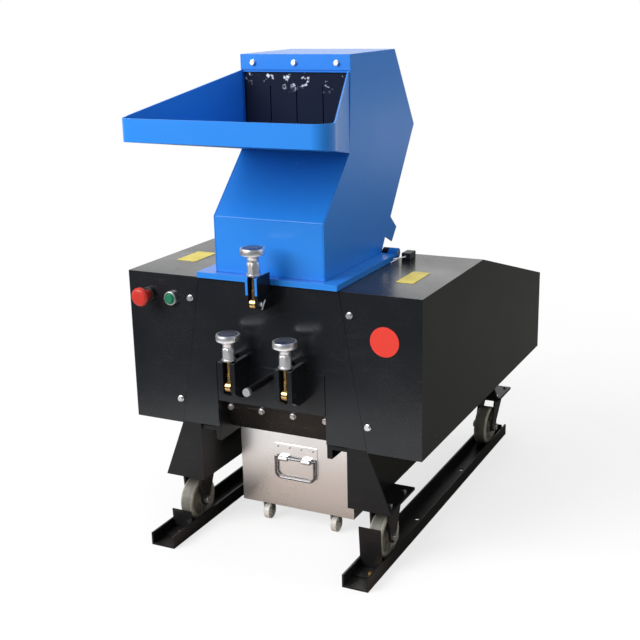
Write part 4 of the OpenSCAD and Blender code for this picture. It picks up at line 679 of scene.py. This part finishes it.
for latch in ("top", "left", "right"):
    dressed(latch + "_swing_bolt", 0.6 * mm, yellow_zinc)
    low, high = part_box(latch + "_knob")
    rim_r, tall = (high.x - low.x) / 2, high.z - low.z
    seat = Vector(((low.x + high.x) / 2, (low.y + high.y) / 2, low.z))
    profile = [(bore_r, under_flange), (flange_r - flange_ease, 0), (flange_r, flange_ease),
               (flange_r, flange_t - 0.7 * mm), (flange_r - flange_ease, flange_t),
               (grip_r, flange_t + 0.2 * mm), (grip_r, grip_full * tall), (grip_r, grip_end * tall),
               (grip_r - 0.9 * mm, neck_from * tall), (waist_r, waist_from * tall),
               (waist_r, waist_to * tall)]
    for share in taper_steps:
        bow = 1 - math.sqrt(1 - share * share)
        profile.append((waist_r + (rim_r - taper_edge - waist_r) * bow,
                        (waist_to + taper_rise * share) * tall))
    profile += [(rim_r - 0.6 * mm, rim_under * tall), (rim_r, rim_from * tall), (rim_r, rim_to * tall),
                (rim_r - 0.5 * mm, rim_eased * tall), (rim_r - 1.6 * mm, face_outer * tall),
                (dome_r + 0.5 * mm, face_inner * tall), (dome_r + 0.3 * mm, cap_seat * tall)]
    knob = turned(latch + "_turned_knob", profile, grip=(*grip_rings, grip_flats, grip_depth))
    standing(knob, seat, aluminium, latch + "_latch_knob")
    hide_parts(latch + "_knob")
    cap = turned(latch + "_knob_cap", [
        (dome_r, cap_seat * tall), (dome_r, cap_side * tall), (dome_r - 0.8 * mm, 0.985 * tall),
        *((narrowed * dome_r, height * tall) for narrowed, height in cap_dome)])
    standing(cap, seat, cap_navy, latch + "_latch_knob")


# Cradle: the door with its latch ears, the pull rod and the frame that holds the screen, cut from steel.
# They are coated black, and the front end of the pull rod is bright. They hang on a plated hinge pin.
bright_end = 9.5 * mm
dressed("cradle_door", 1.0 * mm, cover_paint)
dressed("cradle_frame", 0.8 * mm, frame_paint)
pull_rod = dressed("cradle_handle", 0.8 * mm, frame_paint)
rod_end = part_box("cradle_handle")[0].y + bright_end
second_finish(pull_rod, zinc, lambda centre, normal: centre.y < rod_end)
dressed("hinge_pins", 0.4 * mm, zinc)


# Bin: bright rolled stainless sheet on four small casters with nylon wheels.
# Four rivets hold a plate on its front, and a bent steel wire hangs there as its drop handle.
stainless = surface("rolled_stainless", metal,
                    {"Metal": (0.88, 0.875, 0.87, 1), "Roughness": 0.28, "Grain": 7.0, "Grain Depth": 0.3,
                     "Stains": 0.035, "Stain Colour": (0.6, 0.56, 0.52, 1)}, metallic=1.0)
nylon = surface("white_nylon", plastic, {"Plastic": (0.74, 0.73, 0.68, 1), "Grime": 0.3, "Roughness": 0.36})
dressed("bin_body", 0.9 * mm, stainless)
dressed("bin_handle_plate", 0.7 * mm, stainless)
plate_low, plate_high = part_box("bin_handle_plate")
rivet_steel = surface("rivet_steel", metal, {"Metal": (0.3, 0.3, 0.31, 1), "Roughness": 0.35}, metallic=1.0)
rivet_r, rivet_h, rivet_in, rivet_drop = 2.1 * mm, 1.1 * mm, 9 * mm, 7 * mm
rivet_count, rivet_seat = 4, 2 * mm
rivet_dome = ((1, 0), (0.94, 0.45), (0.7, 0.8), (0.3, 1))
span = (plate_high.x - plate_low.x - 2 * rivet_in) / (rivet_count - 1)
for index in range(rivet_count):
    rivet = turned(f"plate_rivet_{index + 1}",
                   [(across * rivet_r, up * rivet_h) for across, up in rivet_dome], sides=24)
    rivet.data.transform(Matrix.Rotation(math.pi / 2, 4, "X"))
    rivet_place = Vector((plate_low.x + rivet_in + index * span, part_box("bin_body")[0].y - rivet_seat,
                          plate_high.z - rivet_drop))
    standing(rivet, rivet_place, rivet_steel,
             frame["nodes"]["bin_handle_plate"]["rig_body"])

bail_steel = surface("bail_steel", metal, {"Metal": (0.2, 0.2, 0.21, 1), "Roughness": 0.25, "Grain": 60.0,
                                           "Stains": 0.3, "Grain Depth": 0.02}, metallic=1.0)
bail_low, bail_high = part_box("bin_bail")
wire_r, corner_r, corner_steps, wire_sides = 2.7 * mm, 13 * mm, 8, 20
wire_inset, least_mitre, wire_crease = 4 * mm, 0.5, 50
inward = Vector((0, 1, 0))
wire_y = bail_low.y + wire_inset
left_x, right_x = bail_low.x + wire_r, bail_high.x - wire_r
top_z, low_z = bail_high.z - wire_r, bail_low.z + wire_r
path = [Vector((0, wire_y, top_z)), Vector((left_x, wire_y, top_z))]
for centre_x, from_turn in ((left_x + corner_r, math.pi), (right_x - corner_r, 1.5 * math.pi)):
    for step in range(corner_steps + 1):
        turn = from_turn + math.pi / 2 * step / corner_steps
        path.append(Vector((centre_x + corner_r * math.cos(turn), wire_y,
                            low_z + corner_r + corner_r * math.sin(turn))))
path.append(Vector((right_x, wire_y, top_z)))
mesh = bmesh.new()
rings = []
for index, point in enumerate(path):
    before, after = path[index - 1], path[(index + 1) % len(path)]
    along = ((point - before).normalized() + (after - point).normalized()).normalized()
    across = along.cross(inward)
    stretch = 1 / max(least_mitre, across.dot((point - before).normalized().cross(inward)))
    rings.append([mesh.verts.new(point + across * stretch * wire_r * math.cos(2 * math.pi * s / wire_sides)
                                 + inward * wire_r * math.sin(2 * math.pi * s / wire_sides))
                  for s in range(wire_sides)])
for ring, following in zip(rings, rings[1:] + rings[:1]):
    for s in range(wire_sides):
        mesh.faces.new((ring[s], ring[(s + 1) % wire_sides], following[(s + 1) % wire_sides], following[s]))
bail = meshed("bail_wire", mesh)
bpy.ops.object.shade_smooth_by_angle(angle=math.radians(wire_crease))
standing(bail, Vector((0, 0, 0)), bail_steel, frame["nodes"]["bin_bail"]["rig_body"])
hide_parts("bin_bail")
dressed("bin_caster_forks", 0.5 * mm, zinc)
dressed("bin_front_wheels", 0.6 * mm, nylon, angle=20)
dressed("bin_rear_wheels", 0.6 * mm, nylon, angle=20)


# Interlock: a small switch moulded in black plastic beside the hopper hinge, fixed on the machine.
# Its feeler is plated wire, which the hopper holds down while it is shut.
switch_plastic = surface("switch_plastic", plastic, {"Plastic": (0.03, 0.03, 0.034, 1), "Roughness": 0.4})
dressed("interlock_switch", 1.0 * mm, switch_plastic)
dressed("switch_lever", 0.2 * mm, zinc)
